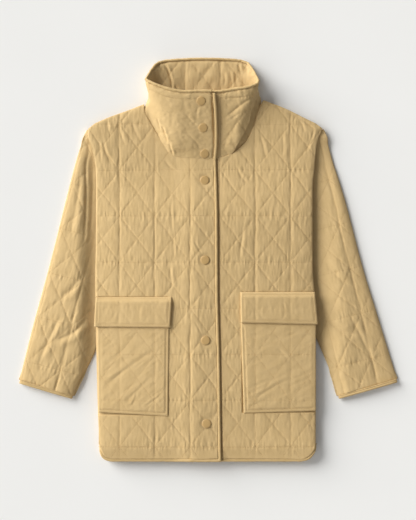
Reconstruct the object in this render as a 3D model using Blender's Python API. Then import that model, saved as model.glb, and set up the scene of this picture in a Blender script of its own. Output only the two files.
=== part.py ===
"""Quilted jacket with a funnel neck, laid on its back with the front snapped shut.

+X points to the wearer's left, +Y from the hem to the collar and +Z up from the surface that the jacket lies on.
The origin is on that surface, under the middle of the jacket. Sizes are in millimetres, and meshes in metres.
"""
import math
from collections import namedtuple

import bmesh
import bpy
from mathutils import Vector
from mathutils.geometry import delaunay_2d_cdt, intersect_line_line_2d

MM = 0.001

# Cloth: two faces with wadding between, stitched together along uprights, levels and both diagonals
WALL = 5.0
PUFF = 3.0
CELL_WIDTH = 72.4
CELL_HEIGHT = 94.3
DIAGONAL_SPACING = CELL_WIDTH * CELL_HEIGHT / math.hypot(CELL_WIDTH, CELL_HEIGHT)
UPRIGHT_DEPTH = 1.0
DIAGONAL_DEPTH = 0.8
LEVEL_DEPTH = 0.5
STITCH_SPREAD = 9.0
SEAM_GAP = 0.3
TAPE_WIDTH = 7.4
TAPE_HEIGHT = 5.0
TAPE_ROUND = 0.8
TAPE_REACH = TAPE_WIDTH + TAPE_ROUND
COLLAR_TAPE_RADIUS = 3.0
COLLAR_TAPE_GAP = 0.7
CUFF_HEIGHT = 13.0
CUFF_WALL = 5.0
CUFF_ROUND = 1.2

# Layers, from the floor up
BACK_TOP = 5.5
FRONT_UNDER = 8.6
FRONT_TOP = FRONT_UNDER + WALL
LAP_UNDER = FRONT_TOP + 0.5
LAP_TOP = LAP_UNDER + WALL
POCKET_UNDER = FRONT_TOP + 0.4
POCKET_TOP = POCKET_UNDER + 4.4
FLAP_UNDER = POCKET_TOP + 0.5
FLAP_THICKNESS = 4.0
SIDE_ROLL = 3.0
SIDE_ROLL_WIDTH = 9.0
SIDE_ROUND = 7.0

# Mesh spacing
RING_STEP = 15.0
CORNER_STEP = 9.0
BACK_STEP = 28.0
TAPE_STEP = 30.0
EDGE_INSETS = (2.5, 8.0)
FRONT_STEPS = 6
SLEEVE_STEPS = 6
UNDER_STEPS = 2
CUFF_STEPS = 6
NODE_CLEARANCE = 4.5

Quilt = namedtuple("Quilt", "x y turn")
Fold = namedtuple("Fold", "x0 y0 x1 y1 width depth")
Section = namedtuple("Section", "seam band fold top")
Snap = namedtuple("Snap", "x y")

# A star point of each lattice, and the lattice's turn in degrees
QUILT_RIGHT = Quilt(-37.7, 182.4, 0.0)
QUILT_LEFT = Quilt(95.3, 182.4, 0.0)
QUILT_SLEEVE_RIGHT = Quilt(-281.0, -137.0, -14.5)
QUILT_SLEEVE_LEFT = Quilt(291.0, -20.0, 13.5)
QUILT_COLLAR = Quilt(-48.0, 328.0, 0.0)

# Front edge and hem
HEM_Y = -415.0
LAP_EDGE = [  # outer edge of the front that lies on top: x, y
    (15.5, 203), (16.8, 164), (18.4, 100), (19.2, -6), (19.6, -84), (22.8, -200), (24.4, -300), (26.0, HEM_Y)]
UNDERLAP_X = -35.0
UNDERLAP_TOP = 201.0
LAP_RAMP = (-64.0, -38.0)
UNDER_RAMP = (QUILT_RIGHT.x - CELL_WIDTH / UNDER_STEPS, QUILT_RIGHT.x)

# Each side from the tip of the shoulder down, the hem's corners, and the shoulders from the neck out: x, y
SIDE_RIGHT = [
    (-243, 265), (-244, 252), (-237, 223), (-231, 175), (-231, 29), (-232, -27), (-231, -146), (-227, -310),
    (-223, -378)]
SIDE_LEFT = [
    (229, 267), (224, 257), (222, 241), (220, 214), (217, 180), (214, 141), (214, -18), (218, -72), (220, -146), (220, -310),
    (220, -378)]
CORNER_RIGHT = [(-223, -378), (-221, -397), (-213, -409), (-197, HEM_Y)]
CORNER_LEFT = [(220, -378), (217, -392), (208, -404), (190, HEM_Y)]
SHOULDER_RIGHT = [(-132, 318), (-171, 303), (-209, 289), (-233, 275), (-243, 265)]
SHOULDER_LEFT = [(113, 326), (158, 309), (199, 288), (218, 276), (229, 267)]

# Sleeves: the outer edge from shoulder to cuff, and the inner fold from underarm to cuff: x, y
SLEEVE_OUTER_RIGHT = [(-249, 259), (-272, 204), (-326, -8), (-359, -129), (-391, -255)]
SLEEVE_OUTER_LEFT = [(235, 262), (242, 249), (248, 229), (257, 197), (282, 118), (317, -15), (347, -113), (390, -253)]
SLEEVE_INNER_RIGHT = [(-228, 20), (-216, -60), (-219, -120), (-231, -184), (-266, -257), (-279, -288)]
SLEEVE_INNER_LEFT = [(211, 20), (202, -60), (207, -125), (225, -170), (252, -235), (267, -288)]
ARMHOLE_Y = 20.0
ARMHOLE_TUCK = 2.0
SLEEVE_END_HEIGHT = 8.0
SLEEVE_CREST = 12.5
SLEEVE_RISE = 34.0
SLEEVE_FOLD = 16.0
SLEEVE_LOWER_WALL = 3.6
SLIT_HEIGHT = 3.5
SLIT_MARGIN = 6.0
SLIT_OVERRUN = 14.0

# The back's outline inside the front's, and its raised edge where it is sewn to the front
BACK_INSET = 4.5
BACK_TUCK_RIGHT = [(-228, 60), (-212, 0), (-208, -60), (-211, -120), (-222, -176), (-224, -200)]
BACK_TUCK_LEFT = [(210, 60), (198, 0), (195, -60), (199, -120), (212, -176), (216, -200)]
SHOULDER_INSET = 1.5
BACK_ROLL = 2.7
BACK_ROLL_REACH = 16.0
BACK_ROLL_SLOPE = 10.0
BACK_RINGS = (2.5, 14.0)
SIDE_SEAM_TOP = -205.0

# Collar sections from the lapped end round the neck: right front, back, left front, and the end under the lap.
# Columns: the neck seam, the low band above it, the edge of the fold, and the top edge, each x, y and z
COLLAR = [
    Section((7.8, 203, 16.6), (10.0, 223, 21.38), (10.8, 244, 26.39), (6.6, 337, 48.6)),
    Section((-24, 203, 16.6), (-24, 223, 21.38), (-24, 244, 26.39), (-24, 337, 48.6)),
    Section((-46, 206, 13.8), (-45, 223, 18.5), (-44, 243, 25.3), (-40, 336, 48.5)),
    Section((-72, 211, 11.1), (-71, 223, 14), (-67, 240, 23.5), (-60, 337, 48)),
    Section((-99, 241, 11.1), (-95, 252, 13), (-87, 264, 24), (-89, 344, 46)),
    Section((-122, 278, 11.1), (-114, 289, 13), (-104, 301, 25), (-114, 354, 42)),
    Section((-134, 301, 10), (-126, 314, 13), (-118, 325, 23), (-127, 363, 35)),
    Section((-129, 316, 6.2), (-124, 324, 9.5), (-121, 332, 17), (-121, 374, 24)),
    Section((-112, 309, 2.9), (-111, 326, 3.2), (-110, 346, 4.4), (-108, 395, 9)),
    Section((-83, 303, 2.75), (-84, 318, 2.75), (-85, 338, 2.75), (-87, 404, 2.75)),
    Section((-9, 299, 2.75), (-9, 316, 2.75), (-9, 336, 2.75), (-10, 408, 2.75)),
    Section((60, 303, 2.75), (61, 318, 2.75), (64, 338, 2.75), (67, 404, 2.75)),
    Section((89, 311, 2.9), (89, 326, 3.2), (88, 346, 4.4), (84, 393, 9)),
    Section((108, 322, 6.2), (106, 329, 9.5), (102, 336, 17), (95, 375, 24)),
    Section((108, 312, 10), (101, 318, 13), (94, 325, 23), (101, 360, 35)),
    Section((99, 282, 11.1), (90, 289, 13), (78, 297, 25), (95, 351, 41)),
    Section((84, 245, 11.1), (75, 254, 13), (64, 264, 24), (77, 345, 43.5)),
    Section((54, 216, 11.1), (54, 225, 13), (52, 240, 21), (50, 341, 43)),
    Section((24, 205, 11.1), (25, 223, 15.5), (26, 242, 20), (24, 337, 42.2)),
    Section((-11, 203, 11.1), (-11, 223, 15.5), (-11, 242, 20), (-11, 335, 42.2)),
]
COLLAR_WALL = 5.5
COLLAR_PUFF = 1.4
COLLAR_STEP = 14.0
COLLAR_HEIGHTS = (0.0, 0.5, 1.0, 1.5, 2.0, 2.25, 2.5, 2.75, 3.0)
FLOOR_SNAP = 0.4
NECK_CLEARANCE = 2.0
LAP_SECTIONS = 1
LEFT_NECK_SECTIONS = (13, 19)
RIGHT_NECK_SECTIONS = (0, 7)
BACK_NECK_SECTIONS = (8, 12)

# Pockets and flaps: corners x, y from the upper outer corner round
POCKET_RIGHT = [(-228, -92), (-228, -141), (-225, -314), (-82, -321), (-80, -141), (-80, -92)]
POCKET_LEFT = [(220, -86), (220, -311), (72, -315), (66, -141), (66, -86)]
FLAP_RIGHT = [(-231, -78), (-234, -139), (-78, -140), (-74, -77)]
FLAP_LEFT = [(218, -67), (224, -134), (66, -130), (65, -67)]
EDGE_STITCH = 7.8
EDGE_STITCH_DEPTH = 1.6
EDGE_STITCH_WIDTH = 2.6
FLAP_HINGE = 11.0
POCKET_PUFF = 1.4
POCKET_MIDDLE = 150.0
POCKET_MARGIN = 5.0
SEWN_MARK_REACH = 204.0
SEWN_PLACE_REACH = 260.0
POCKET_FLAP_CLEAR = {"pocket_right": -138.0, "pocket_left": -130.0}

# Snaps, from the collar down: the first three are on the collar's lap
SNAP_RADIUS = 9.8
SNAP_HEIGHT = 3.4
SNAP_SEAT = 11.5
SNAP_SIDES = 20
SNAPS = [
    Snap(-15, 321), Snap(-11, 268), Snap(-8, 216), Snap(-8, 161), Snap(-7, -2), Snap(-6, -166), Snap(-4, -336)]
COLLAR_SNAPS = 3

# Long soft folds of the panels
FOLDS_RIGHT = [
    Fold(-7, -2, -40, 52, 9, 2.2),
    Fold(-6, -166, -36, -120, 9, 2.2),
    Fold(-135, 296, -170, 232, 12, 2.5),
    Fold(-112, 250, -128, 180, 11, 2.0),
]
FOLDS_LEFT = [
    Fold(98, 268, 122, 190, 11, 2.2),
    Fold(120, 300, 170, 232, 12, 2.2),
    Fold(60, 196, 88, 120, 10, 1.8),
]
FOLDS_SLEEVE_RIGHT = [
    Fold(-240, 200, -262, 96, 12, 2.4),
    Fold(-244, 96, -300, -10, 12, 2.2),
    Fold(-238, -80, -300, -120, 12, 2.6),
    Fold(-300, -120, -345, -190, 12, 2.0),
]
FOLDS_SLEEVE_LEFT = [
    Fold(236, 190, 262, 96, 12, 2.4),
    Fold(232, 90, 285, -20, 12, 2.2),
    Fold(228, -70, 300, -110, 12, 2.6),
    Fold(290, -120, 330, -200, 12, 2.0),
]

CLOTH_COLOUR = (0.60, 0.44, 0.22)
TAPE_COLOUR = (0.57, 0.41, 0.20)
SNAP_COLOUR = (0.56, 0.37, 0.16)


def smooth_step(value):
    """0 below 0, 1 above 1, and an even rise between."""
    value = min(max(value, 0.0), 1.0)
    return value * value * (3.0 - 2.0 * value)


def spline_point(before, start, end, after, t):
    """A point between start and end on the curve that passes through all four."""
    return 0.5 * (
        2.0 * start
        + (end - before) * t
        + (2.0 * before - 5.0 * start + 4.0 * end - after) * t ** 2
        + (3.0 * start - before - 3.0 * end + after) * t ** 3)


def spaced(points, step):
    """Points a step apart, or nearly, along a line of points."""
    lengths = [0.0]
    for a, b in zip(points, points[1:]):
        lengths.append(lengths[-1] + (b - a).length)
    count = max(1, round(lengths[-1] / step))
    result = []
    segment = 0
    for k in range(count + 1):
        goal = lengths[-1] * k / count
        while segment < len(points) - 2 and lengths[segment + 1] < goal:
            segment += 1
        span = lengths[segment + 1] - lengths[segment]
        result.append(points[segment].lerp(points[segment + 1], (goal - lengths[segment]) / span))
    return result


def straight_run(corners, step=RING_STEP):
    """Points along straight lines, with the corners kept."""
    points = [Vector(c) for c in corners]
    result = [points[0]]
    for a, b in zip(points, points[1:]):
        result += spaced([a, b], step)[1:]
    return result


def smooth_run(corners, step=RING_STEP):
    """Evenly spaced points along a smooth curve through the corners."""
    points = [Vector(c) for c in corners]
    dense = []
    for i in range(len(points) - 1):
        before = points[max(i - 1, 0)]
        after = points[min(i + 2, len(points) - 1)]
        for k in range(12):
            dense.append(spline_point(before, points[i], points[i + 1], after, k / 12))
    dense.append(points[-1])
    return spaced(dense, step)


def closed_outline(*runs):
    """One closed outline, counter-clockwise, from runs that meet end to end."""
    points = []
    for run in runs:
        for point in run:
            if not points or (point - points[-1]).length > NODE_CLEARANCE / 2:
                points.append(point)
    if (points[0] - points[-1]).length < NODE_CLEARANCE / 2:
        points.pop()
    area = sum(a.cross(b) for a, b in zip(points, points[1:] + points[:1]))
    return points if area > 0 else points[::-1]


def shifted_run(points, distance):
    """An open run moved sideways, to the right of its direction."""
    result = []
    for k, point in enumerate(points):
        direction = (points[min(k + 1, len(points) - 1)] - points[max(k - 1, 0)]).normalized()
        result.append(point + Vector((direction.y, -direction.x)) * distance)
    return result


def inset_outline(points, distance):
    """A counter-clockwise outline moved inwards."""
    result = []
    for k, point in enumerate(points):
        before = (point - points[k - 1]).normalized()
        after = (points[(k + 1) % len(points)] - point).normalized()
        normal = Vector((-before.y - after.y, before.x + after.x))
        normal.normalize()
        stretch = 1.0 / max(normal.dot(Vector((-before.y, before.x))), 0.6)
        result.append(point + normal * distance * stretch)
    return result


def segment_place(x, y, a, b):
    """How far along a segment a point lies, from 0 to 1, and its distance from it."""
    point = Vector((x, y))
    span = b - a
    along = (point - a).dot(span) / span.length_squared
    nearest = a + span * min(max(along, 0.0), 1.0)
    return along, (point - nearest).length


def distance_to_run(x, y, run):
    """Distance from a point to the nearest place on an open run."""
    return min(segment_place(x, y, a, b)[1] for a, b in zip(run, run[1:]))


def is_inside(x, y, outline):
    """Whether a point lies inside a closed outline."""
    inside = False
    for a, b in zip(outline, outline[1:] + outline[:1]):
        if (a.y > y) != (b.y > y) and x < a.x + (y - a.y) / (b.y - a.y) * (b.x - a.x):
            inside = not inside
    return inside


def quilt_place(quilt, x, y):
    """A point in cells of the lattice, from its star point."""
    turn = math.radians(quilt.turn)
    across = (x - quilt.x) * math.cos(turn) + (y - quilt.y) * math.sin(turn)
    up = (y - quilt.y) * math.cos(turn) - (x - quilt.x) * math.sin(turn)
    return across / CELL_WIDTH, up / CELL_HEIGHT


def quilt_point(quilt, across, up):
    """The point at a place given in cells of the lattice."""
    turn = math.radians(quilt.turn)
    across, up = across * CELL_WIDTH, up * CELL_HEIGHT
    return Vector((
        quilt.x + across * math.cos(turn) - up * math.sin(turn),
        quilt.y + up * math.cos(turn) + across * math.sin(turn)))


def quilt_rise(quilt, x, y):
    """0 on an upright seam, up to 1 in the middle of each padded pocket."""
    across, up = quilt_place(quilt, x, y)
    lines = (
        (across, CELL_WIDTH, UPRIGHT_DEPTH),
        (up, CELL_HEIGHT, LEVEL_DEPTH),
        (across - up, DIAGONAL_SPACING, DIAGONAL_DEPTH),
        (across + up, DIAGONAL_SPACING, DIAGONAL_DEPTH))
    return min(
        1.0 - depth * math.exp(-(((place - round(place)) * spacing / STITCH_SPREAD) ** 2))
        for place, spacing, depth in lines)


def fold_depth(folds, x, y):
    """How deep the long folds press the cloth down at a point."""
    depth = 0.0
    for fold in folds:
        along, away = segment_place(x, y, Vector((fold.x0, fold.y0)), Vector((fold.x1, fold.y1)))
        if 0.0 < along < 1.0:
            depth += fold.depth * math.sin(math.pi * along) * math.exp(-((away / fold.width) ** 2))
    return depth


def clear_of(x, y, places, spread=12.0):
    """0 on the outlines and circles that carry other pieces, rising to 1 a spread away from them."""
    clear = 1.0
    for outline in places:
        if is_inside(x, y, outline):
            return 0.0
        clear = min(clear, smooth_step(distance_to_run(x, y, outline + outline[:1]) / spread))
    return clear


def circle(x, y, radius, corners=12):
    """A round outline."""
    return [
        Vector((x + radius * math.cos(2 * math.pi * k / corners), y + radius * math.sin(2 * math.pi * k / corners)))
        for k in range(corners)]


def sewn_place(pocket, flap, reach):
    """The outline of a front's flat place under a pocket and its flap, out to a reach from the middle."""
    corners = pocket + flap
    way = -1 if corners[0][0] < 0 else 1
    near = way * (min(abs(x) for x, _ in corners) - POCKET_MARGIN / 2)
    top = max(y for _, y in corners) + POCKET_MARGIN
    bottom = min(y for _, y in corners) - POCKET_MARGIN
    return straight_run([(way * reach, top), (near, top), (near, bottom), (way * reach, bottom)])


def lattice_nodes(quilt, steps, outline, marks):
    """Grid points of the lattice that lie inside the outline and clear of every mark, by their place."""
    places = [quilt_place(quilt, p.x, p.y) for p in outline]
    columns = [math.floor(min(p[0] for p in places) * steps), math.ceil(max(p[0] for p in places) * steps)]
    rows = [math.floor(min(p[1] for p in places) * steps), math.ceil(max(p[1] for p in places) * steps)]
    nodes = {}
    for i in range(columns[0], columns[1] + 1):
        for j in range(rows[0], rows[1] + 1):
            point = quilt_point(quilt, i / steps, j / steps)
            if not is_inside(point.x, point.y, outline):
                continue
            if all(distance_to_run(point.x, point.y, mark) > NODE_CLEARANCE for mark in marks):
                nodes[i, j] = point
    return nodes


def stitched_pairs(nodes, steps, marks):
    """Neighbouring nodes on the same stitched line, where no mark runs between them."""
    for i, j in nodes:
        ways = ((0, 1, i), (1, 0, j), (1, 1, i - j), (1, -1, i + j))
        for di, dj, line in ways:
            other = (i + di, j + dj)
            if line % steps or other not in nodes:
                continue
            crossed = any(
                intersect_line_line_2d(nodes[i, j], nodes[other], a, b)
                for mark in marks for a, b in zip(mark, mark[1:]))
            if not crossed:
                yield (i, j), other


def triangulated(outline, marks, quilt, steps):
    """Points and counter-clockwise triangles inside an outline, with the outline's points first."""
    closed = outline + outline[:1]
    nodes = lattice_nodes(quilt, steps, outline, marks + [closed])
    points = list(outline)
    pairs = [(k, (k + 1) % len(outline)) for k in range(len(outline))]
    for mark in marks:
        start = len(points)
        is_loop = mark[0] == mark[-1]
        points += mark[:-1] if is_loop else mark
        pairs += [(start + k, start + k + 1) for k in range(len(mark) - (2 if is_loop else 1))]
        if is_loop:
            pairs.append((len(points) - 1, start))
    index = {}
    for place, point in nodes.items():
        index[place] = len(points)
        points.append(point)
    pairs += [(index[a], index[b]) for a, b in stitched_pairs(nodes, steps, marks + [closed])]
    result = delaunay_2d_cdt(points, pairs, [], 1, 1e-5)
    found, faces, sources = result[0], result[2], result[3]
    order = {source: k for k, group in enumerate(sources) for source in group}
    rim = [order[k] for k in range(len(outline))]
    return found, faces, rim


def new_object(name, mesh, material):
    """An object in the jacket's collection."""
    mesh.materials.append(material)
    obj = bpy.data.objects.new(name, mesh)
    jacket.objects.link(obj)
    return obj


def shade_smooth(obj, angle=35.0):
    """Smooth shading that keeps sharp edges."""
    obj.data.shade_smooth()
    obj.data.set_sharp_from_angle(angle=math.radians(angle))


def cloth_piece(
        name, outline, top, under, quilt, material, steps=FRONT_STEPS, insets=EDGE_INSETS, marks=(), under_marks=()):
    """A closed wall of cloth between two height functions, with a rounded edge."""
    rings = [inset_outline(outline, inset) for inset in insets]
    marks = [ring + ring[:1] for ring in rings] + list(marks)
    upper, upper_faces, upper_rim = triangulated(outline, marks, quilt, steps)
    lower, lower_faces, lower_rim = triangulated(outline, list(under_marks), quilt, UNDER_STEPS)
    on_rim = set(upper_rim)
    mesh = bmesh.new()
    upper_verts = []
    for k, point in enumerate(upper):
        z_under, z_top = under(point.x, point.y), top(point.x, point.y)
        z = z_under + (z_top - z_under) * 0.45 if k in on_rim else z_top
        upper_verts.append(mesh.verts.new(Vector((point.x, point.y, z)) * MM))
    lower_verts = [mesh.verts.new(Vector((p.x, p.y, under(p.x, p.y))) * MM) for p in lower]
    for face in upper_faces:
        mesh.faces.new([upper_verts[k] for k in face])
    for face in lower_faces:
        mesh.faces.new([lower_verts[k] for k in reversed(face)])
    for k in range(len(outline)):
        following = (k + 1) % len(outline)
        mesh.faces.new((
            lower_verts[lower_rim[k]], lower_verts[lower_rim[following]],
            upper_verts[upper_rim[following]], upper_verts[upper_rim[k]]))
    bmesh.ops.triangulate(mesh, faces=[f for f in mesh.faces if len(f.verts) > 3])
    data = bpy.data.meshes.new(name)
    mesh.to_mesh(data)
    mesh.free()
    obj = new_object(name, data, material)
    shade_smooth(obj)
    return obj


def tape_profile(width, height):
    """A rounded cross-section for a folded tape, kept as a guide."""
    curve = bpy.data.curves.new("tape_profile", "CURVE")
    spline = curve.splines.new("POLY")
    corners = 8
    spline.points.add(corners - 1)
    for k in range(corners):
        angle = -2 * math.pi * (k + 0.5) / corners
        reach = 1.0 / math.cos(math.pi / corners)
        x, y = math.cos(angle) * reach, math.sin(angle) * reach
        spline.points[k].co = (max(-1.0, min(1.0, x)) * width / 2 * MM, max(-1.0, min(1.0, y)) * height / 2 * MM, 0, 1)
    spline.use_cyclic_u = True
    guide = bpy.data.objects.new("tape_profile", curve)
    guide.hide_render = True
    guide.display_type = "WIRE"
    guides.objects.link(guide)
    return guide


def tape(name, path, profile, material):
    """A folded tape along a path of x, y, z points, with its width kept level."""
    curve = bpy.data.curves.new(name, "CURVE")
    curve.dimensions = "3D"
    curve.twist_mode = "Z_UP"
    curve.bevel_mode = "OBJECT"
    curve.bevel_object = profile
    curve.use_fill_caps = True
    spline = curve.splines.new("POLY")
    spline.points.add(len(path) - 1)
    for point, place in zip(spline.points, path):
        point.co = (place[0] * MM, place[1] * MM, place[2] * MM, 1)
    curve.materials.append(material)
    obj = bpy.data.objects.new(name, curve)
    jacket.objects.link(obj)
    return obj


def principled(name, colour, roughness):
    """A plain finish."""
    material = bpy.data.materials.new(name)
    material.use_nodes = True
    shader = material.node_tree.nodes["Principled BSDF"]
    shader.inputs["Base Color"].default_value = (*colour, 1.0)
    shader.inputs["Roughness"].default_value = roughness
    shader.inputs["Metallic"].default_value = 0.0
    return material


def neck_run(sections, distance):
    """The neck seam between two collar sections, moved to the right of its direction."""
    first, last = sections
    line = smooth_run([COLLAR[k].seam[:2] for k in range(first, last + 1)])
    return shifted_run(line, distance)


def lap_edge_x(y):
    """Where the lap's outer edge is at a height of the jacket."""
    for (x0, y0), (x1, y1) in zip(LAP_EDGE, LAP_EDGE[1:]):
        if y > y1:
            return x0 + (x1 - x0) * (y - y0) / (y1 - y0)
    return LAP_EDGE[-1][0]


def hem_run(corner, distance, end_x, step=RING_STEP):
    """From the end of a side round the hem's corner and along the hem, moved in from the outer edge."""
    way = -1 if corner[0][0] < 0 else 1
    curve = smooth_run(corner, CORNER_STEP)
    moved = shifted_run(curve, way * distance)
    turn = [curve[0].lerp(moved[0], 0.1), curve[1].lerp(moved[1], 0.6)] + moved[2:-1]
    return turn + straight_run([(corner[-1][0], HEM_Y + distance), (end_x, HEM_Y + distance)], step)


def side_roll(x, y, edge):
    """The rolled edge of a front along its side and shoulder: the rise, less the rounding at the edge."""
    away = distance_to_run(x, y, edge)
    rise = SIDE_ROLL * math.exp(-(((away - SIDE_ROLL_WIDTH) / SIDE_ROLL_WIDTH) ** 2))
    return rise - SIDE_ROLL * max(0.0, 1.0 - away / SIDE_ROUND) ** 2


def front_right_top(x, y):
    """The upper face of the front that lies on top."""
    lap = smooth_step((x - LAP_RAMP[0]) / (LAP_RAMP[1] - LAP_RAMP[0]))
    relief = PUFF * quilt_rise(QUILT_RIGHT, x, y) * (1.0 - 0.6 * lap)
    relief += side_roll(x, y, RIGHT_EDGE) - fold_depth(FOLDS_RIGHT, x, y)
    return FRONT_TOP + (LAP_TOP - FRONT_TOP) * lap + relief * clear_of(x, y, RIGHT_PLACES)


def front_right_under(x, y):
    """The lower face of the front that lies on top, stepped up over the other front."""
    share = min(max((x - UNDER_RAMP[0]) / (UNDER_RAMP[1] - UNDER_RAMP[0]), 0.0), 1.0)
    return FRONT_UNDER + (LAP_UNDER - FRONT_UNDER) * share


def front_left_top(x, y):
    """The upper face of the front that lies below the lap."""
    clear = min(clear_of(x, y, LEFT_PLACES), smooth_step((x - lap_edge_x(y) - 3.0) / 14.0))
    relief = PUFF * quilt_rise(QUILT_LEFT, x, y)
    relief += side_roll(x, y, LEFT_EDGE) - fold_depth(FOLDS_LEFT, x, y)
    return FRONT_TOP + relief * clear


def build_fronts(material):
    """Both front panels, inside the tape of their edges."""
    lap_edge = [(x - TAPE_REACH, y) for x, y in LAP_EDGE[:-1]]
    lap_corner = (LAP_EDGE[-1][0] - TAPE_REACH, HEM_Y + TAPE_REACH)
    right = closed_outline(
        smooth_run(SHOULDER_RIGHT), smooth_run(SIDE_RIGHT), hem_run(CORNER_RIGHT, TAPE_REACH, lap_corner[0]),
        straight_run([lap_corner] + lap_edge[::-1]), neck_run(RIGHT_NECK_SECTIONS, -NECK_CLEARANCE)[1:])
    cloth_piece(
        "front_right", right, front_right_top, front_right_under, QUILT_RIGHT, material,
        marks=RIGHT_MARKS)
    lap_line = [Vector((lap_edge_x(y) + 2.0, y)) for y in range(184, -390, -28)]
    left = closed_outline(
        smooth_run(SHOULDER_LEFT), smooth_run(SIDE_LEFT), hem_run(CORNER_LEFT, TAPE_REACH, UNDERLAP_X),
        straight_run([(UNDERLAP_X, HEM_Y + TAPE_REACH), (UNDERLAP_X, UNDERLAP_TOP)]),
        neck_run(LEFT_NECK_SECTIONS, -NECK_CLEARANCE)[::-1])
    cloth_piece(
        "front_left", left, front_left_top, lambda x, y: FRONT_UNDER, QUILT_LEFT, material,
        marks=LEFT_MARKS + [lap_line])


def back_side(side, tuck, inset):
    """One side of the back: the front's side moved in, round the sleeve's inner fold, and down to the hem."""
    run = shifted_run(smooth_run(side, BACK_STEP), inset)
    above = [p for p in run if p.y > tuck[0][1] + BACK_STEP / 2]
    below = [p for p in run if p.y < tuck[-1][1] - BACK_STEP / 2]
    return above + smooth_run(tuck, BACK_STEP) + below


def back_top(x, y):
    """The upper face of the back, raised where its edges are sewn to the fronts."""
    away = min(distance_to_run(x, y, seam) for seam in BACK_SEAMS)
    return BACK_TOP + BACK_ROLL * smooth_step((BACK_ROLL_REACH - away) / BACK_ROLL_SLOPE)


def build_back(material):
    """The back panel, flat where it rests, tucked in beside the folds of the sleeves."""
    outline = closed_outline(
        shifted_run(smooth_run(SHOULDER_RIGHT, BACK_STEP), -SHOULDER_INSET)[:-1],
        back_side(SIDE_RIGHT, BACK_TUCK_RIGHT, -BACK_INSET),
        hem_run(CORNER_RIGHT, TAPE_REACH, CORNER_LEFT[-1][0], BACK_STEP)[:-1],
        hem_run(CORNER_LEFT, TAPE_REACH, CORNER_LEFT[-1][0] - 1.0)[::-1][1:],
        back_side(SIDE_LEFT, BACK_TUCK_LEFT, BACK_INSET)[::-1],
        shifted_run(smooth_run(SHOULDER_LEFT, BACK_STEP), SHOULDER_INSET)[::-1][1:],
        neck_run(BACK_NECK_SECTIONS, NECK_CLEARANCE)[::-1])
    cloth_piece(
        "back", outline, back_top, lambda x, y: 0.0, QUILT_RIGHT, material, steps=UNDER_STEPS, insets=BACK_RINGS)


def build_sleeve(name, outer, inner, side, quilt, folds, material):
    """A sleeve laid flat: one wall all round, with a narrow slit between its two faces."""
    way = -1 if outer[0][0] < 0 else 1
    armhole = [
        p for p in shifted_run(smooth_run(side), way * ARMHOLE_TUCK) if ARMHOLE_Y + 6.0 < p.y < outer[0][1] + 2.0]
    cuff = shifted_run([Vector(outer[-1]), Vector(inner[-1])], way * TAPE_REACH)
    outer_run = smooth_run(outer[:-1] + [tuple(cuff[0])])
    inner_run = smooth_run(inner[:-1] + [tuple(cuff[1])])
    outline = closed_outline(outer_run, straight_run(cuff), inner_run[::-1], armhole[::-1])
    body_edge = smooth_run(side)

    def rise(x, y):
        if is_inside(x, y, BODY):
            return 0.0
        beside_body = smooth_step((distance_to_run(x, y, body_edge) - ARMHOLE_TUCK) / SLEEVE_RISE)
        return min(beside_body, smooth_step(distance_to_run(x, y, inner_run) / SLEEVE_FOLD))

    def crest(x, y):
        return SLEEVE_END_HEIGHT + (SLEEVE_CREST - SLEEVE_END_HEIGHT) * rise(x, y)

    def top(x, y):
        return crest(x, y) + rise(x, y) * (PUFF * quilt_rise(quilt, x, y) - fold_depth(folds, x, y))

    def slit_top(x, y):
        return SLEEVE_LOWER_WALL + SLIT_HEIGHT * (0.5 + 0.5 * rise(x, y))

    sleeve = cloth_piece(name, outline, top, lambda x, y: 0.0, quilt, material, steps=SLEEVE_STEPS)
    mouth = [cuff[0].lerp(cuff[1], 0.12), cuff[0].lerp(cuff[1], 0.88)]
    slit = closed_outline(
        shifted_run(outer_run, way * SLIT_MARGIN)[:-1], shifted_run(mouth, -way * SLIT_OVERRUN),
        shifted_run(inner_run, -way * SLIT_MARGIN)[::-1][1:], shifted_run(armhole, way * SLIT_OVERRUN)[::-1])
    cutter = cloth_piece(
        name + "_slit", slit, slit_top, lambda x, y: SLEEVE_LOWER_WALL, quilt, material, UNDER_STEPS, ())
    make_guide(cutter)
    cut = sleeve.modifiers.new("slit", "BOOLEAN")
    cut.operation = "DIFFERENCE"
    cut.solver = "EXACT"
    cut.object = cutter


def make_guide(obj):
    """Move a cutter out of the jacket's collection."""
    for collection in list(obj.users_collection):
        collection.objects.unlink(obj)
    guides.objects.link(obj)
    obj.hide_render = True
    obj.display_type = "WIRE"


def collar_point(place, height):
    """The middle of the collar's wall, by its place among the sections and its height from 0 to 3."""
    first = min(int(place), len(COLLAR) - 2)
    rows = [COLLAR[min(max(k, 0), len(COLLAR) - 1)] for k in range(first - 1, first + 3)]
    share = place - first
    columns = []
    for column in range(4):
        before, start, end, after = [Vector(row[column]) for row in rows]
        if first < LAP_SECTIONS:
            columns.append(start.lerp(end, share))
        else:
            columns.append(spline_point(before, start, end, after, share))
    low = min(int(height), 2)
    points = [columns[min(max(k, 0), 3)] for k in range(low - 1, low + 3)]
    return spline_point(*points, height - low)


def collar_normal(place, height):
    """The direction out of the collar's wall."""
    nudge = 0.04
    last = len(COLLAR) - 1
    around = collar_point(min(place + nudge, last), height) - collar_point(max(place - nudge, 0), height)
    up = collar_point(place, min(height + nudge, 3.0)) - collar_point(place, max(height - nudge, 0.0))
    return up.cross(around).normalized()


def collar_places():
    """Places among the sections, a step apart or nearly."""
    places = [0.0]
    for k in range(len(COLLAR) - 1):
        length = max((Vector(a) - Vector(b)).length for a, b in zip(COLLAR[k], COLLAR[k + 1]))
        count = max(1, round(length / COLLAR_STEP))
        places += [k + (n + 1) / count for n in range(count)]
    return places


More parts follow.
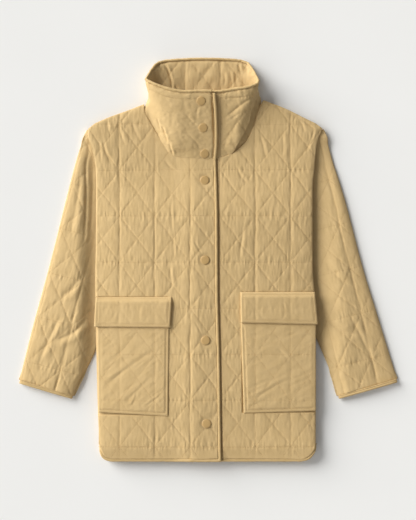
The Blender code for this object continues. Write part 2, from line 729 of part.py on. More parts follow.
def collar_relief(place, x, y):
    """The padding's rise on the collar's outer and inner faces, none where it is lapped or lies on the floor."""
    rise = quilt_rise(QUILT_COLLAR, x, y)
    laps = smooth_step((place - 1.2) / 1.4) * smooth_step((17.2 - place) / 1.2)
    floor = smooth_step((place - 6.0) / 1.5) * smooth_step((14.0 - place) / 1.5)
    return COLLAR_PUFF * rise * laps * (1.0 - floor), PUFF * rise * floor


def build_collar(material):
    """The collar: a band lofted round the neck, standing open, its ends lapped at the front."""
    places = collar_places()
    mesh = bmesh.new()
    outer, inner = [], []
    for place in places:
        outer.append([])
        inner.append([])
        for height in COLLAR_HEIGHTS:
            middle = collar_point(place, height)
            normal = collar_normal(place, height)
            out, into = collar_relief(place, middle.x, middle.y)
            edge = smooth_step(min(height, 3.0 - height) / 0.5)
            far = middle + normal * (COLLAR_WALL / 2 + out * edge)
            near = middle - normal * (COLLAR_WALL / 2 + into * edge)
            far.z = 0.0 if far.z < FLOOR_SNAP else far.z
            outer[-1].append(mesh.verts.new(far * MM))
            inner[-1].append(mesh.verts.new(near * MM))
    last = len(COLLAR_HEIGHTS) - 1
    for k in range(len(places) - 1):
        for n in range(last):
            mesh.faces.new((outer[k][n], outer[k + 1][n], outer[k + 1][n + 1], outer[k][n + 1]))
            mesh.faces.new((inner[k][n], inner[k][n + 1], inner[k + 1][n + 1], inner[k + 1][n]))
        mesh.faces.new((outer[k][0], inner[k][0], inner[k + 1][0], outer[k + 1][0]))
        mesh.faces.new((outer[k][last], outer[k + 1][last], inner[k + 1][last], inner[k][last]))
    for n in range(last):
        mesh.faces.new((outer[0][n], outer[0][n + 1], inner[0][n + 1], inner[0][n]))
        mesh.faces.new((outer[-1][n], inner[-1][n], inner[-1][n + 1], outer[-1][n + 1]))
    if mesh.calc_volume(signed=True) < 0:
        bmesh.ops.reverse_faces(mesh, faces=mesh.faces)
    bmesh.ops.triangulate(mesh, faces=mesh.faces)
    data = bpy.data.meshes.new("collar")
    mesh.to_mesh(data)
    mesh.free()
    shade_smooth(new_object("collar", data, material))


def build_pocket(name, corners, quilt, material):
    """A patch pocket on a front, with its free side and lower edge topstitched."""
    outline = closed_outline(straight_run([*corners, corners[0]]))
    free = stitched_edge(corners)

    def top(x, y):
        away = abs(distance_to_run(x, y, free) - EDGE_STITCH)
        groove = EDGE_STITCH_DEPTH * math.exp(-((away / EDGE_STITCH_WIDTH) ** 2))
        inside = smooth_step((distance_to_run(x, y, outline + outline[:1]) - EDGE_STITCH) / 12.0)
        under_flap = smooth_step((POCKET_FLAP_CLEAR[name] - y) / 14.0)
        return POCKET_TOP + (POCKET_PUFF * quilt_rise(quilt, x, y) * inside - groove) * under_flap

    marks = [stitch_line(corners)]
    cloth_piece(name, outline, top, lambda x, y: POCKET_UNDER, quilt, material, insets=(2.0,), marks=marks)


def stitched_edge(corners):
    """The free side and the lower edge of a pocket, as a run."""
    inner = [Vector(c) for c in corners if abs(c[0]) < POCKET_MIDDLE]
    lower = min((Vector(c) for c in corners if abs(c[0]) > POCKET_MIDDLE), key=lambda p: p.y)
    inner.sort(key=lambda p: p.y)
    return [lower] + inner


def stitch_line(corners):
    """The line of topstitching inside a pocket's free side and lower edge."""
    run = stitched_edge(corners)
    way = -1 if run[0].x > 0 else 1
    line = shifted_run(run, -way * EDGE_STITCH)
    line[1] = Vector((line[2].x, line[0].y))
    line[0].x += way * 12.0
    line[-1].y -= 12.0
    return straight_run([tuple(p) for p in line])


def build_flap(name, corners, quilt, material):
    """A pocket's flap, hinged on the front above the pocket and lying over it."""
    outline = closed_outline(straight_run([*corners, corners[0]], FLAP_HINGE))
    hinge_y = max(y for _, y in corners)

    def under(x, y):
        share = smooth_step((hinge_y - y) / FLAP_HINGE)
        return POCKET_UNDER + (FLAP_UNDER - POCKET_UNDER) * share

    def top(x, y):
        inside = smooth_step((distance_to_run(x, y, outline + outline[:1]) - EDGE_STITCH) / 12.0)
        return under(x, y) + FLAP_THICKNESS + POCKET_PUFF * quilt_rise(quilt, x, y) * inside

    sides = [x for x, _ in corners]
    hinge = straight_run([
        (min(sides) + FLAP_HINGE, hinge_y - FLAP_HINGE), (max(sides) - FLAP_HINGE, hinge_y - FLAP_HINGE)])
    cloth_piece(name, outline, top, under, quilt, material, insets=(2.0,), marks=[hinge], under_marks=[hinge])


def build_tapes(material):
    """The folded tape round the hem, the front edge, the cuffs and the collar."""
    profile = tape_profile(TAPE_WIDTH, TAPE_HEIGHT)
    half = TAPE_WIDTH / 2
    front_middle = (FRONT_UNDER + FRONT_TOP) / 2
    lap_middle = (LAP_UNDER + LAP_TOP) / 2
    lap_collar = [
        collar_point(0.0, height) + Vector((SEAM_GAP + half, 0.0, 0.0)) for height in COLLAR_HEIGHTS[::-1]]
    lap = [Vector((x - half, max(y, HEM_Y + half), lap_middle)) for x, y in LAP_EDGE[1:]]
    hem = []
    for p in hem_run(CORNER_RIGHT, half, LAP_EDGE[-1][0] - half, TAPE_STEP)[2:-1]:
        share = smooth_step((p.x - UNDER_RAMP[0]) / (LAP_RAMP[1] - UNDER_RAMP[0]))
        hem.append(Vector((p.x, p.y, front_middle + (lap_middle - front_middle) * share)))
    tape("binding_front_right", lap_collar + lap + hem[::-1], profile, material)
    under_hem = [
        Vector((p.x, p.y, front_middle)) for p in hem_run(CORNER_LEFT, half, UNDERLAP_X, TAPE_STEP)[2:]]
    tape("binding_front_left", under_hem, profile, material)
    back_hem = hem_run(CORNER_RIGHT, half, 0.0, TAPE_STEP)[2:] + hem_run(CORNER_LEFT, half, 0.0, TAPE_STEP)[2:-1][::-1]
    tape("binding_back", [Vector((p.x, p.y, TAPE_HEIGHT / 2)) for p in back_hem], profile, material)
    collar_edge = []
    places = collar_places()
    for k, place in enumerate(places):
        edge = collar_point(place, 3.0)
        around = collar_point(places[min(k + 1, len(places) - 1)], 3.0) - collar_point(places[max(k - 1, 0)], 3.0)
        out = around.cross(collar_normal(place, 3.0)).normalized()
        if out.dot(edge - collar_point(place, 2.9)) < 0:
            out.negate()
        point = edge + out * (COLLAR_TAPE_RADIUS + COLLAR_TAPE_GAP)
        point.z = max(point.z, COLLAR_TAPE_RADIUS)
        collar_edge.append(point)
    round_tape("binding_collar", collar_edge, material)
    for side, outer, inner in (
            ("right", SLEEVE_OUTER_RIGHT, SLEEVE_INNER_RIGHT), ("left", SLEEVE_OUTER_LEFT, SLEEVE_INNER_LEFT)):
        way = -1 if outer[0][0] < 0 else 1
        ends = shifted_run([Vector(outer[-1]), Vector(inner[-1])], way * half)
        build_cuff_tape("binding_cuff_" + side, ends, material)


def round_tape(name, path, material):
    """A tape folded over an edge that leans every way, so its cross-section is round."""
    curve = bpy.data.curves.new(name, "CURVE")
    curve.dimensions = "3D"
    curve.bevel_depth = COLLAR_TAPE_RADIUS * MM
    curve.bevel_resolution = 2
    curve.use_fill_caps = True
    spline = curve.splines.new("POLY")
    spline.points.add(len(path) - 1)
    for point, place in zip(spline.points, path):
        point.co = (*(place * MM), 1)
    curve.materials.append(material)
    jacket.objects.link(bpy.data.objects.new(name, curve))


def build_cuff_tape(name, ends, material):
    """The tape round a flattened cuff: a long loop, with the sleeve's slit open through it."""
    mesh = bmesh.new()
    span = ends[1] - ends[0]
    across = Vector((-span.y, span.x)).normalized() * TAPE_WIDTH / 2
    loops = [
        cuff_loop(mesh, ends, -across, TAPE_ROUND, False),
        cuff_loop(mesh, ends, -across / 2, 0.0, False),
        cuff_loop(mesh, ends, across / 2, 0.0, False),
        cuff_loop(mesh, ends, across, TAPE_ROUND, False),
        cuff_loop(mesh, ends, across, 0.0, True),
        cuff_loop(mesh, ends, -across, 0.0, True)]
    for first, second in zip(loops, loops[1:] + loops[:1]):
        count = len(first)
        for k in range(count):
            following = (k + 1) % count
            mesh.faces.new((first[k], first[following], second[following], second[k]))
    if mesh.calc_volume(signed=True) < 0:
        bmesh.ops.reverse_faces(mesh, faces=mesh.faces)
    bmesh.ops.triangulate(mesh, faces=mesh.faces)
    data = bpy.data.meshes.new(name)
    mesh.to_mesh(data)
    mesh.free()
    shade_smooth(new_object(name, data, material))


def cuff_loop(mesh, ends, offset, slim, is_slit):
    """One loop of corners round the flattened cuff: along the top from end to end, and back below."""
    length = (ends[1] - ends[0]).length
    inset = CUFF_WALL if is_slit else CUFF_ROUND
    upper, lower = [], []
    for k in range(CUFF_STEPS + 1):
        distance = inset + (length - 2 * inset) * k / CUFF_STEPS
        bulge = math.sqrt(math.sin(math.pi * distance / length))
        if is_slit:
            low, high = SLEEVE_LOWER_WALL, SLEEVE_LOWER_WALL + SLIT_HEIGHT * bulge
        else:
            low, high = 0.0, SLEEVE_END_HEIGHT + (CUFF_HEIGHT - SLEEVE_END_HEIGHT) * bulge - slim
        point = ends[0].lerp(ends[1], distance / length) + offset
        upper.append(mesh.verts.new(Vector((point.x, point.y, high)) * MM))
        lower.append(mesh.verts.new(Vector((point.x, point.y, low)) * MM))
    return upper + lower[::-1]


def snap_mesh():
    """A snap's cap: a low turned dome with a raised rim and a dished middle."""
    profile = [
        (0.0, 0.62), (0.30, 0.66), (0.62, 0.80), (0.80, 1.0), (0.93, 0.82), (1.0, 0.35), (0.97, 0.0), (0.0, 0.0)]
    mesh = bmesh.new()
    verts = [mesh.verts.new((r * SNAP_RADIUS * MM, 0.0, h * SNAP_HEIGHT * MM)) for r, h in profile]
    edges = [mesh.edges.new(pair) for pair in zip(verts, verts[1:])]
    bmesh.ops.spin(
        mesh, geom=verts + edges, cent=(0, 0, 0), axis=(0, 0, 1), angle=2 * math.pi, steps=SNAP_SIDES,
        use_merge=True)
    bmesh.ops.remove_doubles(mesh, verts=mesh.verts, dist=0.00001)
    bmesh.ops.recalc_face_normals(mesh, faces=mesh.faces)
    data = bpy.data.meshes.new("snap")
    mesh.to_mesh(data)
    mesh.free()
    return data


def build_snaps(material):
    """Seven snaps down the front edge."""
    cap = snap_mesh()
    cap.materials.append(material)
    for number, snap in enumerate(SNAPS, 1):
        obj = bpy.data.objects.new(f"snap_{number}", cap)
        jacket.objects.link(obj)
        if number <= COLLAR_SNAPS:
            seam, top = Vector(COLLAR[0].seam), Vector(COLLAR[0].top)
            slope = math.atan2(top.z - seam.z, top.y - seam.y)
            seat = seam.z + (snap.y - seam.y) * math.tan(slope)
            lift = COLLAR_WALL / 2 + SEAM_GAP
            obj.location = Vector((snap.x, snap.y - lift * math.sin(slope), seat + lift * math.cos(slope))) * MM
            obj.rotation_euler = (slope, 0.0, 0.0)
        else:
            obj.location = Vector((snap.x, snap.y, LAP_TOP + SEAM_GAP)) * MM
        shade_smooth(obj)


def build_all():
    """Every piece of the jacket."""
    cloth = principled("khaki_quilted_cloth", CLOTH_COLOUR, 0.8)
    tape_cloth = principled("khaki_tape", TAPE_COLOUR, 0.75)
    snap_finish = principled("tan_enamel", SNAP_COLOUR, 0.45)
    build_back(cloth)
    build_fronts(cloth)
    build_sleeve(
        "sleeve_right", SLEEVE_OUTER_RIGHT, SLEEVE_INNER_RIGHT, SIDE_RIGHT, QUILT_SLEEVE_RIGHT,
        FOLDS_SLEEVE_RIGHT, cloth)
    build_sleeve(
        "sleeve_left", SLEEVE_OUTER_LEFT, SLEEVE_INNER_LEFT, SIDE_LEFT, QUILT_SLEEVE_LEFT,
        FOLDS_SLEEVE_LEFT, cloth)
    build_collar(cloth)
    build_pocket("pocket_right", POCKET_RIGHT, QUILT_RIGHT, cloth)
    build_pocket("pocket_left", POCKET_LEFT, QUILT_LEFT, cloth)
    build_flap("flap_right", FLAP_RIGHT, QUILT_RIGHT, cloth)
    build_flap("flap_left", FLAP_LEFT, QUILT_LEFT, cloth)
    build_tapes(tape_cloth)
    build_snaps(snap_finish)


for old in list(bpy.data.objects):
    bpy.data.objects.remove(old, do_unlink=True)

jacket = bpy.data.collections.new("quilted_jacket")
guides = bpy.data.collections.new("guides")
bpy.context.scene.collection.children.link(jacket)
bpy.context.scene.collection.children.link(guides)

RIGHT_EDGE = smooth_run(SHOULDER_RIGHT) + smooth_run(SIDE_RIGHT)[1:]
LEFT_EDGE = smooth_run(SHOULDER_LEFT) + smooth_run(SIDE_LEFT)[1:]
BODY = closed_outline(RIGHT_EDGE, [Vector((0, HEM_Y))], LEFT_EDGE[::-1])
RIGHT_PLACES = [circle(s.x, s.y, SNAP_SEAT) for s in SNAPS[COLLAR_SNAPS:]]
RIGHT_MARKS = [place + place[:1] for place in RIGHT_PLACES]
RIGHT_MARKS.append(sewn_place(POCKET_RIGHT, FLAP_RIGHT, SEWN_MARK_REACH))
RIGHT_PLACES.append(sewn_place(POCKET_RIGHT, FLAP_RIGHT, SEWN_PLACE_REACH))
LEFT_MARKS = [sewn_place(POCKET_LEFT, FLAP_LEFT, SEWN_MARK_REACH)]
LEFT_PLACES = [sewn_place(POCKET_LEFT, FLAP_LEFT, SEWN_PLACE_REACH)]
BACK_SEAMS = [
    smooth_run(SHOULDER_RIGHT)[2:], smooth_run(SHOULDER_LEFT)[2:],
    [p for p in smooth_run(SIDE_RIGHT) if p.y < SIDE_SEAM_TOP],
    [p for p in smooth_run(SIDE_LEFT) if p.y < SIDE_SEAM_TOP]]

build_all()
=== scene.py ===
import math
import time

import bmesh
import bpy
import numpy as np
from mathutils import Matrix, Vector
from mathutils.bvhtree import BVHTree


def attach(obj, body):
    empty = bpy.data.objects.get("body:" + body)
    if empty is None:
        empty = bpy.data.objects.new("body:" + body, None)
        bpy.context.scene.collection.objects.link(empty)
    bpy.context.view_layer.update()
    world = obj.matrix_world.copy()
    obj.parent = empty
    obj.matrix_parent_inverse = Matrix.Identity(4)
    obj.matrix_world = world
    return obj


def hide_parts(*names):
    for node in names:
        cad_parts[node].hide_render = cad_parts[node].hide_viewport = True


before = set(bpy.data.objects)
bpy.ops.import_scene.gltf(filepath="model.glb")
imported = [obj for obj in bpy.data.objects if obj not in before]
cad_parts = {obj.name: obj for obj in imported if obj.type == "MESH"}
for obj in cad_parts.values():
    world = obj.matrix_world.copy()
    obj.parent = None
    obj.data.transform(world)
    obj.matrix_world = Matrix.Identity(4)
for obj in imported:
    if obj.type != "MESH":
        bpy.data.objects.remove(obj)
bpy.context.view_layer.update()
scene = bpy.context.scene
mm = 0.001
started = time.time()


def report(words):
    print(words, round(time.time() - started, 1), "s")


print("frame loaded:", len(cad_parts), "nodes")


# every length below is in millimetres, unless a note says otherwise, and a ramp is its start and its reach

def smoothStep(value):
    value = np.clip(value, 0.0, 1.0)
    return value * value * (3.0 - 2.0 * value)


def above(value, start, reach):
    # 0 up to the start, then rising to 1 a reach past it
    return smoothStep((value - start) / reach)


def below(value, start, reach):
    # 0 down to the start, then rising to 1 a reach past it
    return smoothStep((start - value) / reach)


def softNoise(x, y, seed):
    # even bumps, one to a unit, from about -1 to 1
    size = 128
    table = np.random.default_rng(seed).uniform(-1.0, 1.0, (size, size))
    column, row = np.floor(x).astype(int), np.floor(y).astype(int)
    u, v = smoothStep(x - column), smoothStep(y - row)
    near, far = (
        table[column % size, r % size] * (1 - u) + table[(column + 1) % size, r % size] * u
        for r in (row, row + 1))
    return near * (1 - v) + far * v


def lineDistance(x, y, line):
    # distance to the nearest place on a line of points
    nearest = np.full(np.shape(x), 1e6)
    for (ax, ay), (bx, by) in zip(line, line[1:]):
        dx, dy = bx - ax, by - ay
        along = np.clip(((x - ax) * dx + (y - ay) * dy) / (dx * dx + dy * dy), 0.0, 1.0)
        nearest = np.minimum(nearest, np.hypot(x - ax - along * dx, y - ay - along * dy))
    return nearest


def placeOnLine(x, y, line):
    # distance to a line of points, positive on its left, and the share of its length passed there
    lengths = np.cumsum([0.0] + [math.dist(a, b) for a, b in zip(line, line[1:])])
    nearest, side, share = (np.full(np.shape(x), value) for value in (1e6, 0.0, 0.0))
    for k, (a, b) in enumerate(zip(line, line[1:])):
        dx, dy = b[0] - a[0], b[1] - a[1]
        along = np.clip(((x - a[0]) * dx + (y - a[1]) * dy) / (dx * dx + dy * dy), 0.0, 1.0)
        away = np.hypot(x - a[0] - along * dx, y - a[1] - along * dy)
        closer = away < nearest
        nearest = np.where(closer, away, nearest)
        side = np.where(closer, np.sign(dx * (y - a[1]) - dy * (x - a[0])), side)
        share = np.where(closer, (lengths[k] + along * math.hypot(dx, dy)) / lengths[-1], share)
    return nearest * side, share


def lineX(y, line):
    # where a line that runs down the jacket is at a height
    upwards = line[::-1]
    return np.interp(y, [p[1] for p in upwards], [p[0] for p in upwards])


def smoothLine(corners, step=8.0):
    # an evenly spaced curve through the corners
    points = [np.array(c, float) for c in corners]
    dense = []
    for k in range(len(points) - 1):
        before, start, end = points[max(k - 1, 0)], points[k], points[k + 1]
        after = points[min(k + 2, len(points) - 1)]
        for t in np.arange(0.0, 1.0, 0.05):
            dense.append(0.5 * (
                2 * start + (end - before) * t + (2 * before - 5 * start + 4 * end - after) * t ** 2
                + (3 * start - before - 3 * end + after) * t ** 3))
    dense.append(points[-1])
    lengths = np.concatenate([[0.0], np.cumsum([np.linalg.norm(b - a) for a, b in zip(dense, dense[1:])])])
    count = max(2, int(round(lengths[-1] / step)))
    places = np.linspace(0.0, lengths[-1], count + 1)
    columns = [np.interp(places, lengths, [p[i] for p in dense]) for i in range(len(points[0]))]
    return [tuple(row) for row in zip(*columns)]


def dome(share):
    # a quarter of an ellipse, from 0 at the rim to 1 at the crown
    return np.sqrt(1.0 - (1.0 - np.clip(share, 0.0, 1.0)) ** 2)


def turnOf(degrees):
    return math.cos(math.radians(degrees)), math.sin(math.radians(degrees))


quilting = {
    "cellWidth": 72.4,
    "cellHeight": 94.3,
    # depth and reach of the valleys along each kind of seam
    "upright": (1.5, 3.0),
    "level": (0.45, 1.5),
    "rising": (0.7, 1.7),
    "falling": (0.9, 1.8),
    "strength": 0.9,
    "puff": (0.3, 11.0),  # how far a puff stands over its seams, and how far from them it rises
    "uneven": (0.4, 23.0, 31.0),  # share by which the seams' depth differs, and half a wave across and along
    "wander": (1.2, 40.0, 7),  # how far the sewing strays from its straight lines, half a wave, and the seed
    # half a wave across and along, and height, of the wrinkles from fine to broad
    "wrinkles": [(2.6, 10.0, 0.42), (5.0, 18.0, 0.32), (9.0, 34.0, 0.17), (21.0, 27.0, 0.28)],
    "lean": (0.25, 40.0, 35.0),  # how far a wrinkle leans, in its widths, and half a wave across and along
    # share of the wrinkles far from seams, then what the level seams and all seams add, each with its reach
    "gathers": (0.5, 0.5, 13.0, 0.35, 7.0),
}
# a star point of each lattice, and its turn in degrees
lattices = {
    "front_right": (-37.7, 182.4, 0.0),
    "front_left": (95.3, 182.4, 0.0),
    "sleeve_right": (-281.0, -137.0, -14.5),
    "sleeve_left": (291.0, -20.0, 13.5),
    "collar": (-48.0, 328.0, 0.0),
}


def latticeAxes(lattice, x, y):
    starX, starY, turn = lattice
    c, s = turnOf(turn)
    return (x - starX) * c + (y - starY) * s, (y - starY) * c - (x - starX) * s


def seamWander(across, up):
    reach, wave, seed = quilting["wander"]
    return reach * softNoise(across / wave, up / wave, seed)


def seamDistances(lattice, x, y):
    # distance to the nearest upright, level, rising and falling seams
    across, up = latticeAxes(lattice, x, y)
    wander = seamWander(across, up)
    width, height = quilting["cellWidth"], quilting["cellHeight"]
    slant = width * height / math.hypot(width, height)
    u, v = (across + wander) / width, (up + wander) / height
    away = [np.abs(place - np.round(place)) for place in (u, v, u - v, u + v)]
    return away[0] * width, away[1] * height, away[2] * slant, away[3] * slant


def quiltRelief(lattice, x, y, seed, strength=1.0):
    # 0 at the top of each puff, down to the seams, with wrinkles along the cloth that gather at the seams
    across, up = latticeAxes(lattice, x, y)
    distances = seamDistances(lattice, x, y)
    differing, wide, long = quilting["uneven"]
    uneven = 1.0 + differing * softNoise(across / wide, up / long, seed + 3)
    valleys = 0.0
    for away, kind in zip(distances, ("upright", "level", "rising", "falling")):
        depth, reach = quilting[kind]
        valleys = valleys + (depth * np.exp(-away / reach)) ** 3
    relief = -uneven * valleys ** (1 / 3)
    nearest = np.min(distances, axis=0)
    depth, reach = quilting["puff"]
    relief -= depth * np.exp(-(nearest / reach) ** 2)
    plain, levelShare, levelReach, seamShare, seamReach = quilting["gathers"]
    gathered = plain + levelShare * np.exp(-(distances[1] / levelReach) ** 2)
    gathered = gathered + seamShare * np.exp(-(nearest / seamReach) ** 2)
    leaning, leanWide, leanLong = quilting["lean"]
    for number, (wide, long, height) in enumerate(quilting["wrinkles"]):
        lean = leaning * wide * softNoise(across / leanWide, up / leanLong, seed + 11)
        relief += height * gathered * softNoise((across + lean) / wide, up / long, seed + number)
    return quilting["strength"] * strength * relief


# the folds in the dictionaries below are listed creases: width, depth, the ridge beside it as a share
# of its depth, and the line of its bottom
creases = {
    "step": 10.0,  # between the points of a crease's line
    "sharpness": 1.3,
    "reach": 5,  # how far its relief goes, in widths
    "ridgePlace": 2.2,  # in widths from the bottom
    "ridgeWidth": 1.5,  # in widths
    "fade": 0.3,  # share of its length over which each end fades
    "uneven": 0.3,  # share by which its depth differs
    "waves": 6.0,  # half waves of that along its length
    "apart": 5.3,  # from one crease's waves to the next one's
    "seed": 40,
}


def foldRelief(folds, x, y):
    relief = np.zeros(np.shape(x))
    for number, (width, depth, ridge, corners) in enumerate(folds):
        line = np.array(smoothLine(corners, creases["step"]))
        reach = creases["reach"] * width
        low, high = line.min(axis=0) - reach, line.max(axis=0) + reach
        near = np.flatnonzero((x > low[0]) & (x < high[0]) & (y > low[1]) & (y < high[1]))
        away, share = placeOnLine(x[near], y[near], line)
        fade = smoothStep(np.minimum(share, 1.0 - share) / creases["fade"])
        wave = softNoise(share * creases["waves"] + number * creases["apart"], share * 0.0, creases["seed"] + number)
        uneven = fade * (1.0 + creases["uneven"] * wave)
        relief[near] -= depth * uneven * np.exp(-(np.abs(away) / width) ** creases["sharpness"])
        fromRidge = (away - creases["ridgePlace"] * width) / (creases["ridgeWidth"] * width)
        relief[near] += ridge * depth * uneven * np.exp(-fromRidge ** 2)
    return relief


def joinedCopy(nodeName):
    # a CAD node's mesh with its loose triangles joined
    mesh = bmesh.new()
    mesh.from_mesh(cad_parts[nodeName].data)
    bmesh.ops.remove_doubles(mesh, verts=mesh.verts, dist=0.02 * mm)
    return mesh


def newPiece(name, mesh):
    data = bpy.data.meshes.new(name)
    mesh.to_mesh(data)
    mesh.free()
    piece = bpy.data.objects.new(name, data)
    scene.collection.objects.link(piece)
    return piece


def applied(piece):
    # the piece with its modifiers made part of its mesh
    bpy.context.view_layer.update()
    data = bpy.data.meshes.new_from_object(piece.evaluated_get(bpy.context.evaluated_depsgraph_get()))
    piece.modifiers.clear()
    old, piece.data = piece.data, data
    bpy.data.meshes.remove(old)
    data.name = piece.name
    return piece


def remeshed(piece, voxel):
    # an even mesh over the same form
    remesh = piece.modifiers.new("evenMesh", "REMESH")
    remesh.mode = "VOXEL"
    remesh.voxel_size = voxel * mm
    remesh.use_smooth_shade = True
    return applied(piece)


def eachPoint(piece, key):
    values = np.empty(len(piece.data.vertices) * 3)
    piece.data.vertices.foreach_get(key, values)
    return values.reshape(-1, 3)


def points(piece):
    return eachPoint(piece, "co") / mm


def setPoints(piece, places):
    piece.data.vertices.foreach_set("co", (places * mm).ravel())
    piece.data.update()


def normals(piece):
    return eachPoint(piece, "normal")


def vertsOf(geometry):
    return [g for g in geometry if isinstance(g, bmesh.types.BMVert)]


def grownRing(mesh, edges):
    # extrudes a loop of edges, and gives the new loop's corners and edges
    grown = bmesh.ops.extrude_edge_only(mesh, edges=edges)["geom"]
    verts = vertsOf(grown)
    return verts, [g for g in grown if isinstance(g, bmesh.types.BMEdge) and all(v in verts for v in g.verts)]


def growOutline(mesh, grow):
    # moves a flat patch's rim outwards, by as much as grow says at each place
    moves = {}
    for vert in mesh.verts:
        rim = [e for e in vert.link_edges if e.is_boundary]
        if len(rim) != 2:
            continue
        outward = Vector((0.0, 0.0))
        for edge in rim:
            span = (edge.verts[1].co - edge.verts[0].co).xy
            away = Vector((span.y, -span.x)).normalized()
            inwards = edge.link_faces[0].calc_center_median().xy - edge.verts[0].co.xy
            outward += away if away.dot(inwards) < 0 else -away
        outward.normalize()
        moves[vert] = outward * grow(vert.co.x / mm, vert.co.y / mm, outward) * mm
    for vert, move in moves.items():
        vert.co.xy += move


slabs = {
    "underside": -0.85,  # the most that a node's underside faces up
    "floorReach": 0.1,  # how far from the floor a piece still rests on it
    "hidden": -0.97,  # the most that the faces which are made fewer face up
    "share": 0.54,  # of them that stays
}


def clothSlab(name, nodeName, thickness, voxel, onFloor, grow=None):
    # the node's underside raised to an even slab; also gives the outline's edges
    mesh = joinedCopy(nodeName)
    floorTop = min(v.co.z for v in mesh.verts) + slabs["floorReach"] * mm
    upper = [
        f for f in mesh.faces
        if f.normal.z > slabs["underside"] or (onFloor and max(v.co.z for v in f.verts) > floorTop)]
    bmesh.ops.delete(mesh, geom=upper, context="FACES")
    if grow:
        growOutline(mesh, grow)
    outline = [[tuple(v.co.xy / mm) for v in e.verts] for e in mesh.edges if e.is_boundary]
    raised = bmesh.ops.extrude_face_region(mesh, geom=mesh.faces[:], use_keep_orig=True)["geom"]
    bmesh.ops.translate(mesh, verts=vertsOf(raised), vec=(0, 0, thickness * mm))
    bmesh.ops.recalc_face_normals(mesh, faces=mesh.faces)
    return remeshed(newPiece(name, mesh), voxel), outline


def outlineDistance(x, y, outline):
    nearest = np.full(np.shape(x), 1e6)
    for a, b in outline:
        nearest = np.minimum(nearest, lineDistance(x, y, [a, b]))
    return nearest


def level(height):
    # a height function that is the same everywhere
    return lambda x, y: np.full(np.shape(x), height)


def shapeSlab(piece, thickness, under, top, lift=None):
    # moves a slab's points to lie between two height functions, with the lower one lifted
    places = points(piece)
    x, y, z = places.T
    lowest = under(x, y)
    share = (z - lowest) / thickness
    if lift:
        lowest = lowest + lift(x, y)
    places[:, 2] = lowest + share * (top(x, y) - lowest)
    setPoints(piece, places)


def lightened(piece):
    # fewer and larger faces on an underside, which nothing shows
    hidden = np.flatnonzero(normals(piece)[:, 2] < slabs["hidden"])
    group = piece.vertex_groups.new(name="underside")
    group.add([int(k) for k in hidden], 1.0, "REPLACE")
    fewer = piece.modifiers.new("fewerFaces", "DECIMATE")
    fewer.ratio = slabs["share"]
    fewer.vertex_group = "underside"
    applied(piece)
    piece.vertex_groups.clear()
    return piece


def nodeOf(tree, kind, inputs=None, **settings):
    node = tree.nodes.new(kind)
    for key, value in settings.items():
        setattr(node, key, value)
    for key, value in (inputs or {}).items():
        node.inputs[key].default_value = value
    return node


def startMaterial(name, inputs):
    # a new material's tree and shader, and the piece's own coordinates
    material = bpy.data.materials.new(name)
    material.use_nodes = True
    tree = material.node_tree
    shader = tree.nodes["Principled BSDF"]
    for key, value in inputs.items():
        shader.inputs[key].default_value = value
    return material, tree, shader, nodeOf(tree, "ShaderNodeTexCoord").outputs["Object"]


def colourRamp(tree, low, high, darker, colour):
    # turns a pattern's values between low and high into colours
    ramp = nodeOf(tree, "ShaderNodeValToRGB")
    for element, place, shade in zip(ramp.color_ramp.elements, (low, high), (darker, colour)):
        element.position = place
        element.color = (*shade, 1.0)
    return ramp


weave = {
    "roughness": 0.82,
    "sheen": 0.12,
    "sheenRoughness": 0.5,
    "specular": 0.25,
    # patterns to a metre
    "mottle": 60.0,
    "crinkle": 330.0,
    "threads": 900.0,
    "crinkleHeight": 0.35,
    "threadHeight": 0.12,
}


def makeCloth(name, colour, darker):
    # plain woven cotton with a fine crinkle and a little unevenness of colour
    material, tree, shader, coords = startMaterial(name, {
        "Roughness": weave["roughness"], "Sheen Weight": weave["sheen"],
        "Sheen Roughness": weave["sheenRoughness"], "Specular IOR Level": weave["specular"]})
    mottle = nodeOf(tree, "ShaderNodeTexNoise", {"Scale": weave["mottle"], "Detail": 5.0, "Roughness": 0.6})
    crinkle = nodeOf(tree, "ShaderNodeTexNoise", {"Scale": weave["crinkle"], "Detail": 4.0, "Roughness": 0.65})
    threads = {"Scale": weave["threads"], "Distortion": 1.5, "Detail": 1.0, "Detail Scale": 2.0}
    warp, weft = (
        nodeOf(tree, "ShaderNodeTexWave", threads, wave_type="BANDS", bands_direction=way) for way in "XY")
    for pattern in (mottle, crinkle, warp, weft):
        tree.links.new(coords, pattern.inputs["Vector"])
    crossing = nodeOf(tree, "ShaderNodeMath", operation="MULTIPLY")
    tree.links.new(warp.outputs["Fac"], crossing.inputs[0])
    tree.links.new(weft.outputs["Fac"], crossing.inputs[1])
    ramp = colourRamp(tree, 0.3, 0.62, darker, colour)
    tree.links.new(mottle.outputs["Fac"], ramp.inputs["Fac"])
    tree.links.new(ramp.outputs["Color"], shader.inputs["Base Color"])
    crinkleBump = nodeOf(tree, "ShaderNodeBump", {"Strength": 0.5, "Distance": weave["crinkleHeight"] * mm})
    threadBump = nodeOf(tree, "ShaderNodeBump", {"Strength": 0.35, "Distance": weave["threadHeight"] * mm})
    tree.links.new(crinkle.outputs["Fac"], crinkleBump.inputs["Height"])
    tree.links.new(crossing.outputs["Value"], threadBump.inputs["Height"])
    tree.links.new(crinkleBump.outputs["Normal"], threadBump.inputs["Normal"])
    tree.links.new(threadBump.outputs["Normal"], shader.inputs["Normal"])
    return material


